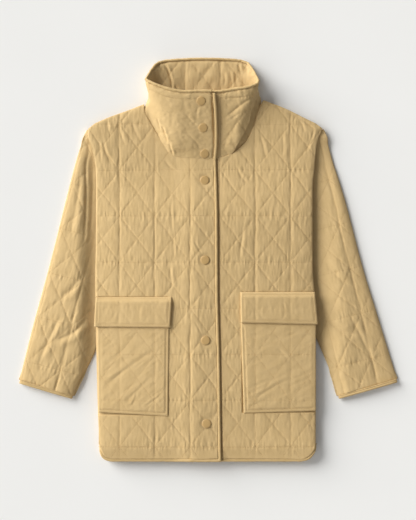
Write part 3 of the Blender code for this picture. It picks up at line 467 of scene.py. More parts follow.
def makeSmooth(name, colour, darker, roughness, speckle, grain):
    # an even finish with a little unevenness of colour and a fine grain, both in patterns to a metre
    material, tree, shader, coords = startMaterial(name, {"Roughness": roughness})
    ramp = colourRamp(tree, 0.32, 0.68, darker, colour)
    bump = nodeOf(tree, "ShaderNodeBump", {"Strength": 0.25, "Distance": 0.05 * mm})
    for scale, target in ((speckle, ramp.inputs["Fac"]), (grain, bump.inputs["Height"])):
        noise = nodeOf(tree, "ShaderNodeTexNoise", {"Scale": scale, "Detail": 3.0})
        tree.links.new(coords, noise.inputs["Vector"])
        tree.links.new(noise.outputs["Fac"], target)
    tree.links.new(ramp.outputs["Color"], shader.inputs["Base Color"])
    tree.links.new(bump.outputs["Normal"], shader.inputs["Normal"])
    return material


finishes = {
    "cloth": makeCloth("khakiPoplin", (0.600, 0.424, 0.200), (0.562, 0.392, 0.178)),
    "tape": makeCloth("khakiTape", (0.590, 0.415, 0.190), (0.535, 0.370, 0.163)),
    "thread": makeSmooth("tanThread", (0.54, 0.36, 0.155), (0.49, 0.32, 0.13), 0.6, 120.0, 2500.0),
    "enamel": makeSmooth("tanEnamel", (0.515, 0.335, 0.132), (0.48, 0.308, 0.118), 0.42, 90.0, 900.0),
    "floor": makeSmooth("paleFloor", (0.845, 0.840, 0.815), (0.835, 0.830, 0.805), 0.9, 5.0, 300.0),
}
report("materials made")


def dress(piece, finish, slot, *nodes):
    piece.data.materials.clear()
    piece.data.materials.append(finishes[finish])
    piece.data.shade_smooth()
    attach(piece, "root")
    if nodes:
        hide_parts(*nodes)


sewing = {
    "pitch": 3.3,
    "length": 2.5,
    "threadRadius": 0.34,
    "proud": 0.12,
    "dip": 0.3,  # how far a thread's ends go into the cloth
    "steepest": 0.35,  # the least that cloth which takes a stitch faces up
    "drop": 1.8,  # the most that a thread falls from end to end
    "lines": 16,  # of a lattice, to each side of the middle
    "needleHeight": 200.0,
}


def latticeRuns(lattice, box):
    # every seam of a lattice across a box of x0, y0, x1, y1
    starX, starY, turn = lattice
    c, s = turnOf(turn)
    width, height = quilting["cellWidth"], quilting["cellHeight"]
    middle = latticeAxes(lattice, (box[0] + box[2]) / 2, (box[1] + box[3]) / 2)
    reach = math.hypot(box[2] - box[0], box[3] - box[1]) / 2 + height
    runs = []
    for dx, dy, gap in ((0.0, 1.0, width), (1.0, 0.0, height), (width, height, width), (width, -height, width)):
        length = math.hypot(dx, dy)
        dx, dy = dx / length, dy / length
        across, up = (1.0, 0.0) if dy else (0.0, 1.0)
        nearest = round((middle[0] - middle[1] * dx / dy) / gap) if dy else round(middle[1] / gap)
        for k in range(nearest - sewing["lines"], nearest + sewing["lines"] + 1):
            start = np.array((k * gap * across, k * gap * up))
            along = (np.array(middle) - start) @ np.array((dx, dy))
            places = start + (along + np.arange(-reach, reach, sewing["pitch"]))[:, None] * np.array((dx, dy))
            places = places - seamWander(places[:, 0], places[:, 1])[:, None]
            x = starX + places[:, 0] * c - places[:, 1] * s
            y = starY + places[:, 0] * s + places[:, 1] * c
            keep = (x > box[0]) & (x < box[2]) & (y > box[1]) & (y < box[3])
            turned = (dx * c - dy * s, dx * s + dy * c)
            runs += [(x[i], y[i], *turned) for i in np.flatnonzero(keep)]
    return runs


def lineRun(corners):
    # places and directions of the stitches along a line
    if len(corners) > 2:
        line = smoothLine(corners, sewing["pitch"])
    else:
        line = np.linspace(*corners, max(2, int(math.dist(*corners) / sewing["pitch"])))
    run = []
    for (ax, ay), (bx, by) in zip(line, line[1:]):
        length = math.dist((ax, ay), (bx, by))
        run.append((ax, ay, (bx - ax) / length, (by - ay) / length))
    return run


def seamRun(corners):
    # the stitches along a seam that turns sharply at its corners
    return [stitch for pair in zip(corners, corners[1:]) for stitch in lineRun(pair)]


def inBox(stitch, box):
    return box[0] < stitch[0] < box[2] and box[1] < stitch[1] < box[3]


def meshOf(name, curve):
    # a curve made into a mesh piece
    maker = bpy.data.objects.new(name + "Curve", curve)
    scene.collection.objects.link(maker)
    bpy.context.view_layer.update()
    data = bpy.data.meshes.new_from_object(maker.evaluated_get(bpy.context.evaluated_depsgraph_get()))
    bpy.data.objects.remove(maker)
    bpy.data.curves.remove(curve)
    mesh = bmesh.new()
    mesh.from_mesh(data)
    bpy.data.meshes.remove(data)
    bmesh.ops.remove_doubles(mesh, verts=mesh.verts, dist=0.001 * mm)  # closes the ends
    return newPiece(name, mesh)


def sewStitches(name, piece, stitches):
    # short threads laid on a piece from above, each dipping into the cloth at its ends
    surface = BVHTree.FromObject(piece, bpy.context.evaluated_depsgraph_get())
    curve = bpy.data.curves.new(name, "CURVE")
    curve.dimensions = "3D"
    curve.bevel_depth = sewing["threadRadius"] * mm
    curve.bevel_resolution = 0
    curve.use_fill_caps = True
    half = sewing["length"] / 2
    for x, y, dx, dy in stitches:
        thread = []
        for shift, rise in ((-half, -sewing["dip"]), (0.0, sewing["proud"]), (half, -sewing["dip"])):
            needle = Vector((x + dx * shift, y + dy * shift, sewing["needleHeight"])) * mm
            hit, normal, _, _ = surface.ray_cast(needle, Vector((0, 0, -1)))
            if hit is None or normal.z < sewing["steepest"]:
                break
            thread += [*(hit + normal * rise * mm), 1.0]
        heights = thread[2::4]
        if len(heights) == 3 and max(heights) - min(heights) < sewing["drop"] * mm:
            spline = curve.splines.new("POLY")
            spline.points.add(2)
            spline.points.foreach_set("co", thread)
    dress(meshOf(name, curve), "thread", "quilted_cloth")


# heights of the layers, as the solids have them
layers = {
    "wall": 5.0,
    "frontUnder": 8.6,
    "frontTop": 13.6,
    "lapUnder": 14.1,
    "lapTop": 19.1,
    "pocketUnder": 14.0,
    "pocketTop": 18.4,
    "flapUnder": 18.9,
    "puff": 3.0,
}
lapEdge = [
    (15.5, 203), (16.8, 164), (18.4, 100), (19.2, -6), (19.6, -84), (22.8, -200), (24.4, -300), (26.0, -415)]
sideRight = smoothLine([
    (-132, 318), (-171, 303), (-209, 289), (-233, 275), (-243, 265), (-244, 252), (-237, 223), (-231, 175),
    (-231, 29), (-232, -27), (-231, -146), (-227, -310), (-223, -378)])
sideLeft = smoothLine([
    (113, 326), (158, 309), (199, 288), (218, 276), (229, 267), (224, 257), (222, 241), (220, 214), (217, 180),
    (214, 141), (214, -18), (218, -72), (220, -146), (220, -310), (220, -378)])
shoulderTips = [(-244, 262), (230, 264)]
snapPlaces = [(-15, 321), (-11, 268), (-8, 216), (-8, 161), (-7, -2), (-6, -166), (-4, -336)]
fullness = {
    "middle": -40.0,
    "reach": (180.0, 260.0),  # from the middle to each side
    "least": 2.6,  # at the sides
    "height": 10.0,  # and how much more at the middle, on a ramp from the hem raised to a power
    "fromHem": (-412.0, 150.0),
    "hemPower": 0.7,
    "hemRise": 2.4,  # how much more again by the hem
    "hemRamp": (-340.0, 60.0),
    "shoulderRamp": (200.0, 130.0),  # all of it ends towards the shoulders
    "tip": (5.0, 25.0),  # how far the cloth stands out over a shoulder's tip, and how wide
    "hemCalm": 0.35,  # share of the relief that is left at the hem
    "hemCalmRamp": (-408.0, 26.0),
    "spread": 4.0,  # round a pocket, from flat cloth to full relief
}


def clearOfBox(x, y, box):
    # 0 in a box of x0, y0, x1, y1, rising to 1 outside it
    outX = np.maximum(np.maximum(box[0] - x, x - box[2]), 0.0)
    outY = np.maximum(np.maximum(box[1] - y, y - box[3]), 0.0)
    return smoothStep(np.hypot(outX, outY) / fullness["spread"])


def crown(x, y):
    # how much higher the whole front lies towards the middle of the jacket
    offset = x - fullness["middle"]
    across = 1.0 - np.minimum(np.abs(offset) / np.where(offset < 0.0, *fullness["reach"]), 1.0) ** 2
    rise = fullness["least"] + fullness["hemRise"] * below(y, *fullness["hemRamp"])
    rise = rise + fullness["height"] * across * above(y, *fullness["fromHem"]) ** fullness["hemPower"]
    return rise * below(y, *fullness["shoulderRamp"])


def hemCalm(y):
    least = fullness["hemCalm"]
    return least + (1.0 - least) * above(y, *fullness["hemCalmRamp"])


def shoulderFullness(x, y):
    height, reach = fullness["tip"]
    away = np.minimum(*(np.hypot(x - tipX, y - tipY) for tipX, tipY in shoulderTips))
    return height * np.exp(-(away / reach) ** 2)


sides = {
    "heart": (150.0, 200.0),  # the place in each front towards which a full shoulder draws back
    # depth and reach of the roll at a side, and of its edge
    "roll": (2.6, 10.0),
    "edge": (0.9, 1.4),
    # growth of the cloth that goes on inside a tape or under the collar, away from the side seam
    "underTape": 2.6,
    "underCollar": 6.0,
    "collarFoot": 198.0,
    "growRamp": (4.0, 8.0),
    # fuller hem corners: height, then the ramps down and outwards
    "cornerRight": (3.0, (-345.0, 50.0), (-188.0, 14.0)),
    "cornerLeft": (4.6, (-380.0, 8.0), (186.0, 8.0)),
}


def sideRoll(x, y, side):
    # how far a front rolls down towards its side and its shoulder
    heartX, heartY = sides["heart"]
    inX, inY = np.sign(x) * heartX - x, heartY - y
    pull = shoulderFullness(x, y) / np.maximum(np.hypot(inX, inY), 1.0)
    away = lineDistance(x + inX * pull, y + inY * pull, side)
    (roll, rollReach), (edge, edgeReach) = sides["roll"], sides["edge"]
    return roll * np.exp(-away / rollReach) + edge * np.exp(-away / edgeReach)


def frontGrowth(side):
    # how far a front's outline grows at a place
    def grow(x, y, outward):
        if x < 0:
            height, down, out = sides["cornerRight"]
            corner = height * float(below(y, *down) * below(x, *out)) * abs(outward.x)
        else:
            height, down, out = sides["cornerLeft"]
            corner = height * float(below(y, *down) * above(x, *out)) * 2.0 * abs(outward.x * outward.y)
        away = lineDistance(np.array([x]), np.array([y]), side)[0]
        growth = sides["underCollar"] if y > sides["collarFoot"] else sides["underTape"]
        return corner + float(shoulderFullness(x, y)) + growth * float(above(away, *sides["growRamp"]))

    return grow


frontRight = {
    "voxel": 1.45,
    "seed": 11,
    "pocketPlace": (-300, -317, -84, -80),
    "underRamp": (-73.9, 36.2),
    "lapRamp": (-82.0, 62.0),
    "lapPress": 0.6,  # share of its puff that the lap loses
    "lapSink": (1.6, (-34.0, 50.0), (-405.0, 25.0)),  # depth, and its ramps across and above the hem
    # the quilting is faint by the neck: its place, how it is squashed, its ramp and what is left
    "neckCalm": (-62.0, 215.0, 0.8, (20.0, 80.0), 0.3),
    "cornerCalm": (0.5, (-300.0, 40.0), (-110.0, 50.0)),  # and by the hem's corner
    "dimple": (8.0, 9.0),  # flat round a snap, and rising over the next
    "folds": [
        (1.8, 1.0, 0.4, [(-13, 8), (-22, 24), (-31, 40)]),
        (1.8, 0.8, 0.4, [(-12, -157), (-20, -142), (-29, -124)]),
        (2.2, 0.7, 0.6, [(-78, 118), (-76, 86), (-73, 52)]),
        (2.2, 0.7, 0.6, [(-72, 46), (-71, 20), (-69, -4)]),
        (2.4, 0.9, 0.7, [(-80, -6), (-77, -36), (-73, -66)]),
        (2.6, 1.3, 0.6, [(-218, 252), (-214, 229), (-205, 206), (-196, 186)]),
        (2.4, 1.0, 0.6, [(-226, 247), (-222, 219), (-220, 190)]),
        (2.4, 1.1, 0.5, [(-208, 286), (-205, 266), (-200, 250)]),
        (3.0, 1.0, 0.6, [(-186, 282), (-178, 252), (-168, 226)]),
        (3.0, 0.9, 0.6, [(-160, 290), (-150, 262), (-136, 236)]),
        (2.6, 0.9, 0.6, [(-92, 206), (-80, 190), (-62, 178)]),
        (1.4, 0.35, 0.3, [(-230, -385), (-120, -385), (-60, -385.5), (50, -386)])],
    "hemSeam": [(-218, -385), (-120, -385), (-60, -385.5), (16, -386)],
    "sewn": (-245, -405, 12, 320),
    "unsewn": (-300, -322, -76, -74),
    "clearOfEdge": 9.0,
    "clearOfSnaps": 11.0,
}


def frontRightUnder(x, y):
    start, reach = frontRight["underRamp"]
    share = np.clip((x - start) / reach, 0.0, 1.0)
    return layers["frontUnder"] + (layers["lapUnder"] - layers["frontUnder"]) * share


def frontRightTop(x, y):
    lap = above(x, *frontRight["lapRamp"])
    calmX, calmY, squash, ramp, least = frontRight["neckCalm"]
    drawn = least + (1.0 - least) * above(np.hypot(x - calmX, (y - calmY) * squash), *ramp)
    calm, up, across = frontRight["cornerCalm"]
    drawn = drawn * (1.0 - calm * below(y, *up) * below(x, *across))
    relief = layers["puff"] + drawn * quiltRelief(lattices["front_right"], x, y, frontRight["seed"])
    relief = relief + foldRelief(frontRight["folds"], x, y)
    relief = relief - lap * layers["puff"] * frontRight["lapPress"]
    clear = clearOfBox(x, y, frontRight["pocketPlace"])
    for snapX, snapY in snapPlaces[3:]:
        clear = np.minimum(clear, above(np.hypot(x - snapX, y - snapY), *frontRight["dimple"]))
    height = layers["frontTop"] + (layers["lapTop"] - layers["frontTop"]) * lap + crown(x, y)
    sink, across, up = frontRight["lapSink"]
    height = height - sink * above(x, *across) * above(y, *up)
    return height + relief * hemCalm(y) * clear - sideRoll(x, y, sideRight)


def makeFrontRight():
    piece, _ = clothSlab(
        "frontRightPanel", "front_right", layers["wall"], frontRight["voxel"], False, frontGrowth(sideRight))
    shapeSlab(piece, layers["wall"], frontRightUnder, frontRightTop, crown)
    dress(lightened(piece), "cloth", "quilted_cloth", "front_right")
    stitches = [
        s for s in latticeRuns(lattices["front_right"], frontRight["sewn"])
        if not inBox(s, frontRight["unsewn"]) and s[0] < lineX(s[1], lapEdge) - frontRight["clearOfEdge"]
        and min(math.dist(s[:2], p) for p in snapPlaces) > frontRight["clearOfSnaps"]]
    sewStitches("frontRightStitches", piece, stitches + lineRun(frontRight["hemSeam"]))


frontLeft = {
    "voxel": 1.45,
    "seed": 23,
    "pocketPlace": (71, -312, 300, -70),
    "hemFaint": (0.3, (-300.0, 40.0)),  # share by which the quilting is fainter by the hem, and its ramp
    "besideLap": (1.0, 4.0),
    "lapShade": (1.2, 3.0),  # depth and reach of the hollow beside the lap
    "folds": [
        (2.4, 1.1, 0.6, [(213, 273), (215, 258), (206, 236), (200, 214)]),
        (2.2, 0.8, 0.6, [(203, 264), (206, 248), (197, 226)]),
        (2.4, 1.0, 0.6, [(186, 286), (194, 272), (196, 256)]),
        (1.7, 1.3, 0.5, [(150, 304), (183, 290), (206, 275), (222, 261)]),
        (3.0, 1.2, 0.6, [(104, 262), (112, 232), (118, 204)]),
        (3.0, 0.9, 0.6, [(150, 262), (154, 232), (150, 204)]),
        (2.6, 1.0, 0.6, [(56, 196), (66, 170), (84, 150)]),
        (2.6, 1.0, 0.6, [(72, 60), (66, 24), (64, -10)]),
        (1.4, 0.35, 0.3, [(-10, -386), (80, -385.5), (150, -385), (230, -384.5)])],
    "hemSeam": [(28, -386), (80, -385.5), (150, -385), (214, -384.5)],
    "shoulderSeam": [(118, 318), (150, 304), (183, 290), (206, 275), (220, 263)],
    "sewn": (18, -405, 245, 330),
    "unsewn": (66, -318, 300, -64),
    "clearOfLap": 4.0,
}


def frontLeftTop(x, y):
    faint, ramp = frontLeft["hemFaint"]
    drawn = 1.0 - faint * below(y, *ramp)
    relief = layers["puff"] + drawn * quiltRelief(lattices["front_left"], x, y, frontLeft["seed"])
    relief = relief + foldRelief(frontLeft["folds"], x, y)
    beyondLap = x - lineX(y, lapEdge)
    clear = np.minimum(clearOfBox(x, y, frontLeft["pocketPlace"]), above(beyondLap, *frontLeft["besideLap"]))
    depth, reach = frontLeft["lapShade"]
    hollow = depth * np.exp(-(beyondLap / reach) ** 2)
    return layers["frontTop"] + crown(x, y) + relief * hemCalm(y) * clear - hollow - sideRoll(x, y, sideLeft)


def makeFrontLeft():
    piece, _ = clothSlab(
        "frontLeftPanel", "front_left", layers["wall"], frontLeft["voxel"], False, frontGrowth(sideLeft))
    shapeSlab(piece, layers["wall"], level(layers["frontUnder"]), frontLeftTop, crown)
    dress(lightened(piece), "cloth", "quilted_cloth", "front_left")
    stitches = [
        s for s in latticeRuns(lattices["front_left"], frontLeft["sewn"])
        if not inBox(s, frontLeft["unsewn"]) and s[0] > lineX(s[1], lapEdge) + frontLeft["clearOfLap"]]
    stitches += lineRun(frontLeft["hemSeam"]) + lineRun(frontLeft["shoulderSeam"])
    sewStitches("frontLeftStitches", piece, stitches)


makeFrontRight()
makeFrontLeft()
report("fronts made")

back = {
    "voxel": 5.0,
    "hemGrowth": 2.6,  # into the tape
    "hemY": -391.0,
    # where its edge rises to meet the front's: above and below these heights, how wide and how far
    "joins": (240.0, -205.0),
    "joinReach": 16.0,
    "joinRamp": 10.0,
    "joinRise": 2.7,
    "sideX": 215.0,
}


def backTop(x, y):
    away = np.minimum(lineDistance(x, y, sideRight[2:]), lineDistance(x, y, sideLeft[2:]))
    upper, lower = back["joins"]
    joined = (away < back["joinReach"]) & ((y > upper) | (y < lower))
    rise = back["joinRise"] + crown(np.sign(x) * back["sideX"], y)
    return layers["wall"] + rise * joined * below(away, back["joinReach"], back["joinRamp"])


def makeBack():
    piece, _ = clothSlab(
        "backPanel", "back", layers["wall"], back["voxel"], True,
        lambda x, y, outward: back["hemGrowth"] if y < back["hemY"] else 0.0)
    shapeSlab(piece, layers["wall"], level(0.0), backTop)
    dress(piece, "cloth", "quilted_cloth", "back")


makeBack()
report("back made")

sleeves = {
    "voxel": 1.7,
    "slab": 8.0,  # thickness before it is shaped
    "wall": 1.4,
    "rim": 2.5,
    "outerRound": 12.0,
    "outerSlope": 92.0,
    "innerRound": 26.0,
    "rimShare": 0.35,  # of the crest that the rounded outer edge gives
    "swellRamp": (-250.0, 90.0),
    "dipStart": 3.0,
    "leastCrest": 0.1,
    "tipLevel": (0.7, (190.0, 60.0)),  # share of the crest at the shoulder's tip, and its ramp
    "tipFull": (0.75, (205.0, 50.0), 5.0, 9.0),  # share and ramp, and how far its rounded edge is out and in
    "relief": (0.3, 1.2),  # share of the relief at the rim, and how fast it grows
    "cuffGrowth": (-235.0, 2.4),  # below which height, and how far
    # the tip goes on under the front's corner: outwards, upwards with its ramp, inwards, and its ramp in height
    "tipGrowth": (1.2, 4.2, (0.15, 0.5), 7.5, (236.0, 14.0)),
    "sewn": ((200.0, 400.0), (-290, 270)),  # across from the middle and along
    "clearOfBody": 2.0,
    "mouth": (0.5, 3.0),  # faces that look down the sleeve by this much, this near its end, are taken away
    "right": {
        "seed": 30,
        "crest": 12.0,
        "swell": 3.0,  # above the crest's height at the cuff
        "dip": 36.0,
        "ease": 1.6,
        "outer": [(-249, 259), (-272, 204), (-326, -8), (-359, -129), (-391, -255)],
        "inner": [(-228, 20), (-216, -60), (-219, -120), (-231, -184), (-266, -257), (-279, -288)],
        "folds": [
            (2.4, 3.0, 0.4, [(-249, 254), (-247, 220), (-252, 190), (-251, 131), (-253, 70), (-258, 10)]),
            (2.2, 2.2, 0.4, [(-239, 214), (-238, 160), (-240, 96), (-243, 30)]),
            (5.0, 1.6, 0.6, [(-262, 190), (-270, 120), (-290, 30)]),
            (5.0, 1.6, 0.6, [(-250, -20), (-280, -60), (-312, -84)]),
            (5.0, 1.8, 0.6, [(-240, -110), (-276, -150), (-322, -170)]),
            (4.0, 1.5, 0.6, [(-300, -110), (-330, -170), (-348, -214)])]},
    "left": {
        "seed": 32,
        "crest": 11.0,
        "swell": 4.0,
        "dip": 64.0,
        "ease": 1.1,
        "outer": [
            (235, 262), (242, 249), (250, 229), (257.5, 197), (282, 118), (317, -15), (347, -113), (390, -253)],
        "inner": [(211, 20), (202, -60), (207, -125), (225, -170), (252, -235), (267, -288)],
        "folds": [
            (5.0, 0.5, 0.6, [(244, 200), (256, 130), (272, 50)]),
            (5.0, 1.6, 0.6, [(236, 0), (268, -40), (300, -60)]),
            (5.0, 1.8, 0.6, [(226, -100), (262, -140), (306, -160)]),
            (4.0, 1.5, 0.6, [(288, -110), (318, -170), (338, -214)])]},
}


def sleeveEnd(side):
    # the cuff's outer and inner corners, and the direction down the sleeve
    outerEnd, innerEnd = (Vector(sleeves[side][key][-1]) for key in ("outer", "inner"))
    across = outerEnd - innerEnd
    down = Vector((-across.y, across.x)).normalized()
    return outerEnd, innerEnd, down if down.y < 0 else -down


def openedTube(piece, side):
    # takes away the end at the cuff and gives the cloth its thickness
    outerEnd, _, down = sleeveEnd(side)
    mesh = bmesh.new()
    mesh.from_mesh(piece.data)
    facing, reach = sleeves["mouth"]
    start = outerEnd.dot(down) - reach
    away = [
        f for f in mesh.faces
        if f.normal.xy.dot(down) > facing and f.calc_center_median().xy.dot(down) / mm > start]
    bmesh.ops.delete(mesh, geom=away, context="FACES")
    mesh.to_mesh(piece.data)
    mesh.free()
    wall = piece.modifiers.new("clothWall", "SOLIDIFY")
    wall.thickness = sleeves["wall"] * mm
    wall.offset = -1.0
    applied(piece)


def makeSleeve(side):
    settings = sleeves[side]
    node = "sleeve_" + side
    name = "sleeve" + side.capitalize()
    body = sideRight if side == "right" else sideLeft
    way = -1 if side == "right" else 1
    outer, inner = smoothLine(settings["outer"]), smoothLine(settings["inner"])

    def grow(x, y, outward):
        cuffHeight, cuffGrowth = sleeves["cuffGrowth"]
        if y < cuffHeight:
            return cuffGrowth
        out, upwards, facing, into, ramp = sleeves["tipGrowth"]
        growth = out + upwards * float(above(outward.y, *facing)) if outward.x * way > 0.1 else into
        return growth * float(above(y, *ramp))

    def top(x, y):
        outside = (x - lineX(y, body)) * way > 0
        dip = above(lineDistance(x, y, body), sleeves["dipStart"], settings["dip"]) * outside
        tipShare, tipRamp = sleeves["tipLevel"]
        dip = dip + (tipShare - dip) * above(y, *tipRamp) * (dip < tipShare)
        outerAway, innerAway = lineDistance(x, y, outer), lineDistance(x, y, inner)
        slope = 1.0 - (1.0 - np.clip(outerAway / sleeves["outerSlope"], 0.0, 1.0)) ** settings["ease"]
        rimShare = sleeves["rimShare"]
        form = rimShare * dome(outerAway / sleeves["outerRound"]) + (1.0 - rimShare) * slope
        form = form * dome(innerAway / sleeves["innerRound"])
        share, ramp, out, into = sleeves["tipFull"]
        form = np.maximum(form, above(y, *ramp) * share * dome((outerAway + out) / into))
        height = settings["crest"] + settings["swell"] * above(y, *sleeves["swellRamp"])
        least = sleeves["leastCrest"]
        relief = quiltRelief(lattices[node], x, y, settings["seed"]) + foldRelief(settings["folds"], x, y)
        start, growth = sleeves["relief"]
        relief = relief * np.minimum(start + growth * form, start + dip)
        return sleeves["rim"] + form * (least + (1.0 - least) * dip) * height + relief

    piece, _ = clothSlab(name, node, sleeves["slab"], sleeves["voxel"], True, grow)
    shapeSlab(piece, sleeves["slab"], level(0.0), top)
    openedTube(lightened(piece), side)
    dress(piece, "cloth", "quilted_cloth", node)
    across, (lowY, highY) = sleeves["sewn"]
    lowX, highX = sorted(way * x for x in across)
    sewStitches(name + "Stitches", piece, [
        s for s in latticeRuns(lattices[node], (lowX, lowY, highX, highY))
        if (s[0] - lineX(s[1], body)) * way > sleeves["clearOfBody"]])


makeSleeve("right")
makeSleeve("left")
report("sleeves made")

collar = {
    "voxel": 1.7,
    "softening": (16, 0.1, 0.5),  # times, the least that a point faces up, and how far it goes each time
    "underTape": (2.2, 0.8),  # how near the tape the cloth is drawn in, and how far past its surface
    "lapLean": 13.4,  # degrees
    "fullness": (-66.0, 232.0, 4.0, 42.0, 32.0),  # where the lap's side bulges, by how much, how wide and how tall
    "quilt": 0.8,  # strength of the quilting
    "insideQuilt": 1.35,  # and how much stronger it is inside
    # ramps: which faces look up, which are outside, and which are low enough to be the inside
    "facing": (0.1, 0.4),
    "outside": (-0.15, 0.3),
    "inside": (12.0, 4.0),
    "lap": ((-34.0, 20.0), (18.0, 8.0)),  # where the lap is, from both sides
    "lapCalm": (0.85, (16.0, 8.0)),  # share by which the quilting is fainter on the lap's side, and its ramp
    "puckers": [(0.7, 7.0, 17.0, 0.4), (0.0, 5.0, 4.0, 0.3)],  # lean, half a wave across and along, and height
    "puckerRamp": (-130.0, 40.0),
    # the turned edge: rise and depth, the reach of each, its step, and how it fades at its ends
    "turn": (4.4, 2.6),
    "turnReach": (15.0, 9.0),
    "turnStep": (-0.4, 1.8),
    "turnFade": 24.0,
    # on the outside: the lap's side, then the other
    "outerFolds": [
        (1.9, 2.6, 0.5, [(-136, 306), (-130, 290), (-124, 272)]),
        (1.8, 2.2, 0.5, [(-106, 290), (-102, 276), (-97, 262)]),
        (1.9, 3.2, 0.5, [(-96, 272), (-88, 254), (-81, 236)]),
        (1.8, 2.6, 0.5, [(-80, 240), (-75, 224), (-71, 211)]),
        (2.4, 1.1, 0.5, [(-48, 296), (-34, 280), (-21, 268)]),
        (2.4, 0.9, 0.5, [(-52, 262), (-34, 248), (-14, 224)]),
        (2.0, 0.8, 0.5, [(-18, 312), (-24, 300), (-22, 284)]),
        (2.0, 0.8, 0.5, [(-34, 232), (-24, 224), (-15, 220)]),
        (3.0, 1.9, 0.15, [(101, 334), (74, 319), (48, 299), (26, 283)]),
        (2.0, 0.7, 0.3, [(70, 300), (56, 292), (34, 276)]),
        (2.4, 0.6, 0.3, [(66, 292), (52, 268), (44, 240)]),
        (2.4, 1.0, 0.5, [(48, 262), (36, 242), (32, 222)]),
        (1.4, 0.8, 0.3, [(-140, 356), (-108, 339), (-88, 330), (-65, 325), (-23, 324), (8, 324)]),
        (1.4, 0.8, 0.3, [(17, 325), (50, 327), (74, 330), (104, 338)])],
    "topStitch": [
        [(-124, 347), (-108, 339), (-88, 330), (-65, 325), (-28, 324)], [(20, 325), (50, 327), (74, 330), (98, 336)]],
    "outerTurn": [(103, 338), (92, 316), (86.5, 304), (83, 281), (74, 263), (65.3, 246.5), (50.5, 218), (43, 204)],
    "innerFolds": [
        (2.0, 3.6, 0.5, [(-92, 404), (-82, 384), (-76, 363), (-74, 338)]),
        (2.0, 1.2, 0.5, [(-104, 382), (-92, 362), (-80, 340)]),
        (2.0, 1.2, 0.5, [(-72, 366), (-67, 354), (-62, 340)]),
        (2.4, 2.2, 0.5, [(61, 402), (64, 392), (66, 380)]),
        (3.0, 2.4, 0.6, [(70, 402), (86, 378), (100, 350)]),
        (2.2, 0.9, 0.5, [(30, 388), (34, 370), (32, 352)]),
        (2.2, 0.9, 0.5, [(42, 392), (46, 374), (50, 350)]),
        (2.2, 0.8, 0.5, [(56, 384), (56, 366), (62, 348)])],
    "sewn": (-140, 200, 130, 405),
    "plainLap": (16, 345),  # the lap has no stitches this side of and under here
    "seed": 51,
    "puckerSeed": 57,
}


def softened(piece):
    # rounds the faces that look up
    times, facing, factor = collar["softening"]
    mesh = bmesh.new()
    mesh.from_mesh(piece.data)
    upper = [v for v in mesh.verts if v.normal.z > facing]
    for _ in range(times):
        bmesh.ops.smooth_vert(mesh, verts=upper, factor=factor, use_axis_x=True, use_axis_y=True, use_axis_z=True)
    mesh.to_mesh(piece.data)
    mesh.free()


def underTape(piece):
    # draws the cloth's rim on into the tape round it
    reach, past = collar["underTape"]
    solid = joinedCopy("binding_collar")
    tree = BVHTree.FromBMesh(solid)
    places = points(piece)
    for number, place in enumerate(places):
        near, _, _, away = tree.find_nearest(Vector(place) * mm, reach * mm)
        if near is not None:
            step = np.array(near) / mm - place
            places[number] = place + step * (1.0 + past * mm / max(away, 0.2 * mm))
    solid.free()
    setPoints(piece, places)


def turnedOver(x, y):
    # the cloth swells up to a line and drops crisply past it, less and less away from it
    line, fade = collar["outerTurn"], collar["turnFade"]
    (rise, depth), (riseReach, depthReach) = collar["turn"], collar["turnReach"]
    away = x - lineX(y, line)
    ends = above(y, line[-1][1], fade) * below(y, line[0][1], fade)
    past = above(away, *collar["turnStep"])
    swell = rise * (1.0 - past) * np.exp(-np.maximum(-away, 0.0) / riseReach)
    return ends * (swell - depth * past * np.exp(-np.maximum(away, 0.0) / depthReach))


def makeCollar():
    piece = remeshed(newPiece("collarBand", joinedCopy("collar")), collar["voxel"])
    softened(piece)
    underTape(piece)
    places, directions = points(piece), normals(piece)
    x, y, z = places.T
    facing = above(directions[:, 2], *collar["facing"])
    inside = below(z, *collar["inside"])
    front = facing * (1.0 - inside)
    outer = above(directions[:, 2], *collar["outside"]) * (1.0 - inside)
    lapStart, lapEnd = collar["lap"]
    lapped = above(x, *lapStart) * below(x, *lapEnd)
    quilted = quiltRelief(lattices["collar"], x, y, collar["seed"], collar["quilt"])
    calm, ramp = collar["lapCalm"]
    plain = 1.0 - calm * below(x, *ramp)
    move = front * (quilted * plain * (1.0 - lapped) + foldRelief(collar["outerFolds"], x, y))
    move += outer * turnedOver(x, y)
    puckers = sum(
        height * softNoise((x + lean * y) / wide, (y - lean * x) / long, collar["puckerSeed"] + number)
        for number, (lean, wide, long, height) in enumerate(collar["puckers"]))
    move += front * puckers * above(x, *collar["puckerRamp"])
    fullX, fullY, full, wide, tall = collar["fullness"]
    move += front * (1.0 - lapped) * full * np.exp(-((x - fullX) / wide) ** 2 - ((y - fullY) / tall) ** 2)
    move += facing * inside * (collar["insideQuilt"] * quilted + foldRelief(collar["innerFolds"], x, y))
    places += directions * move[:, None]
    setPoints(piece, places)
    dress(piece, "cloth", "quilted_cloth", "collar")
    plainX, plainY = collar["plainLap"]
    stitches = [s for s in latticeRuns(lattices["collar"], collar["sewn"]) if s[0] > plainX or s[1] > plainY]
    for run in collar["topStitch"]:
        stitches += lineRun(run)
    sewStitches("collarStitches", piece, stitches)


makeCollar()
report("collar made")

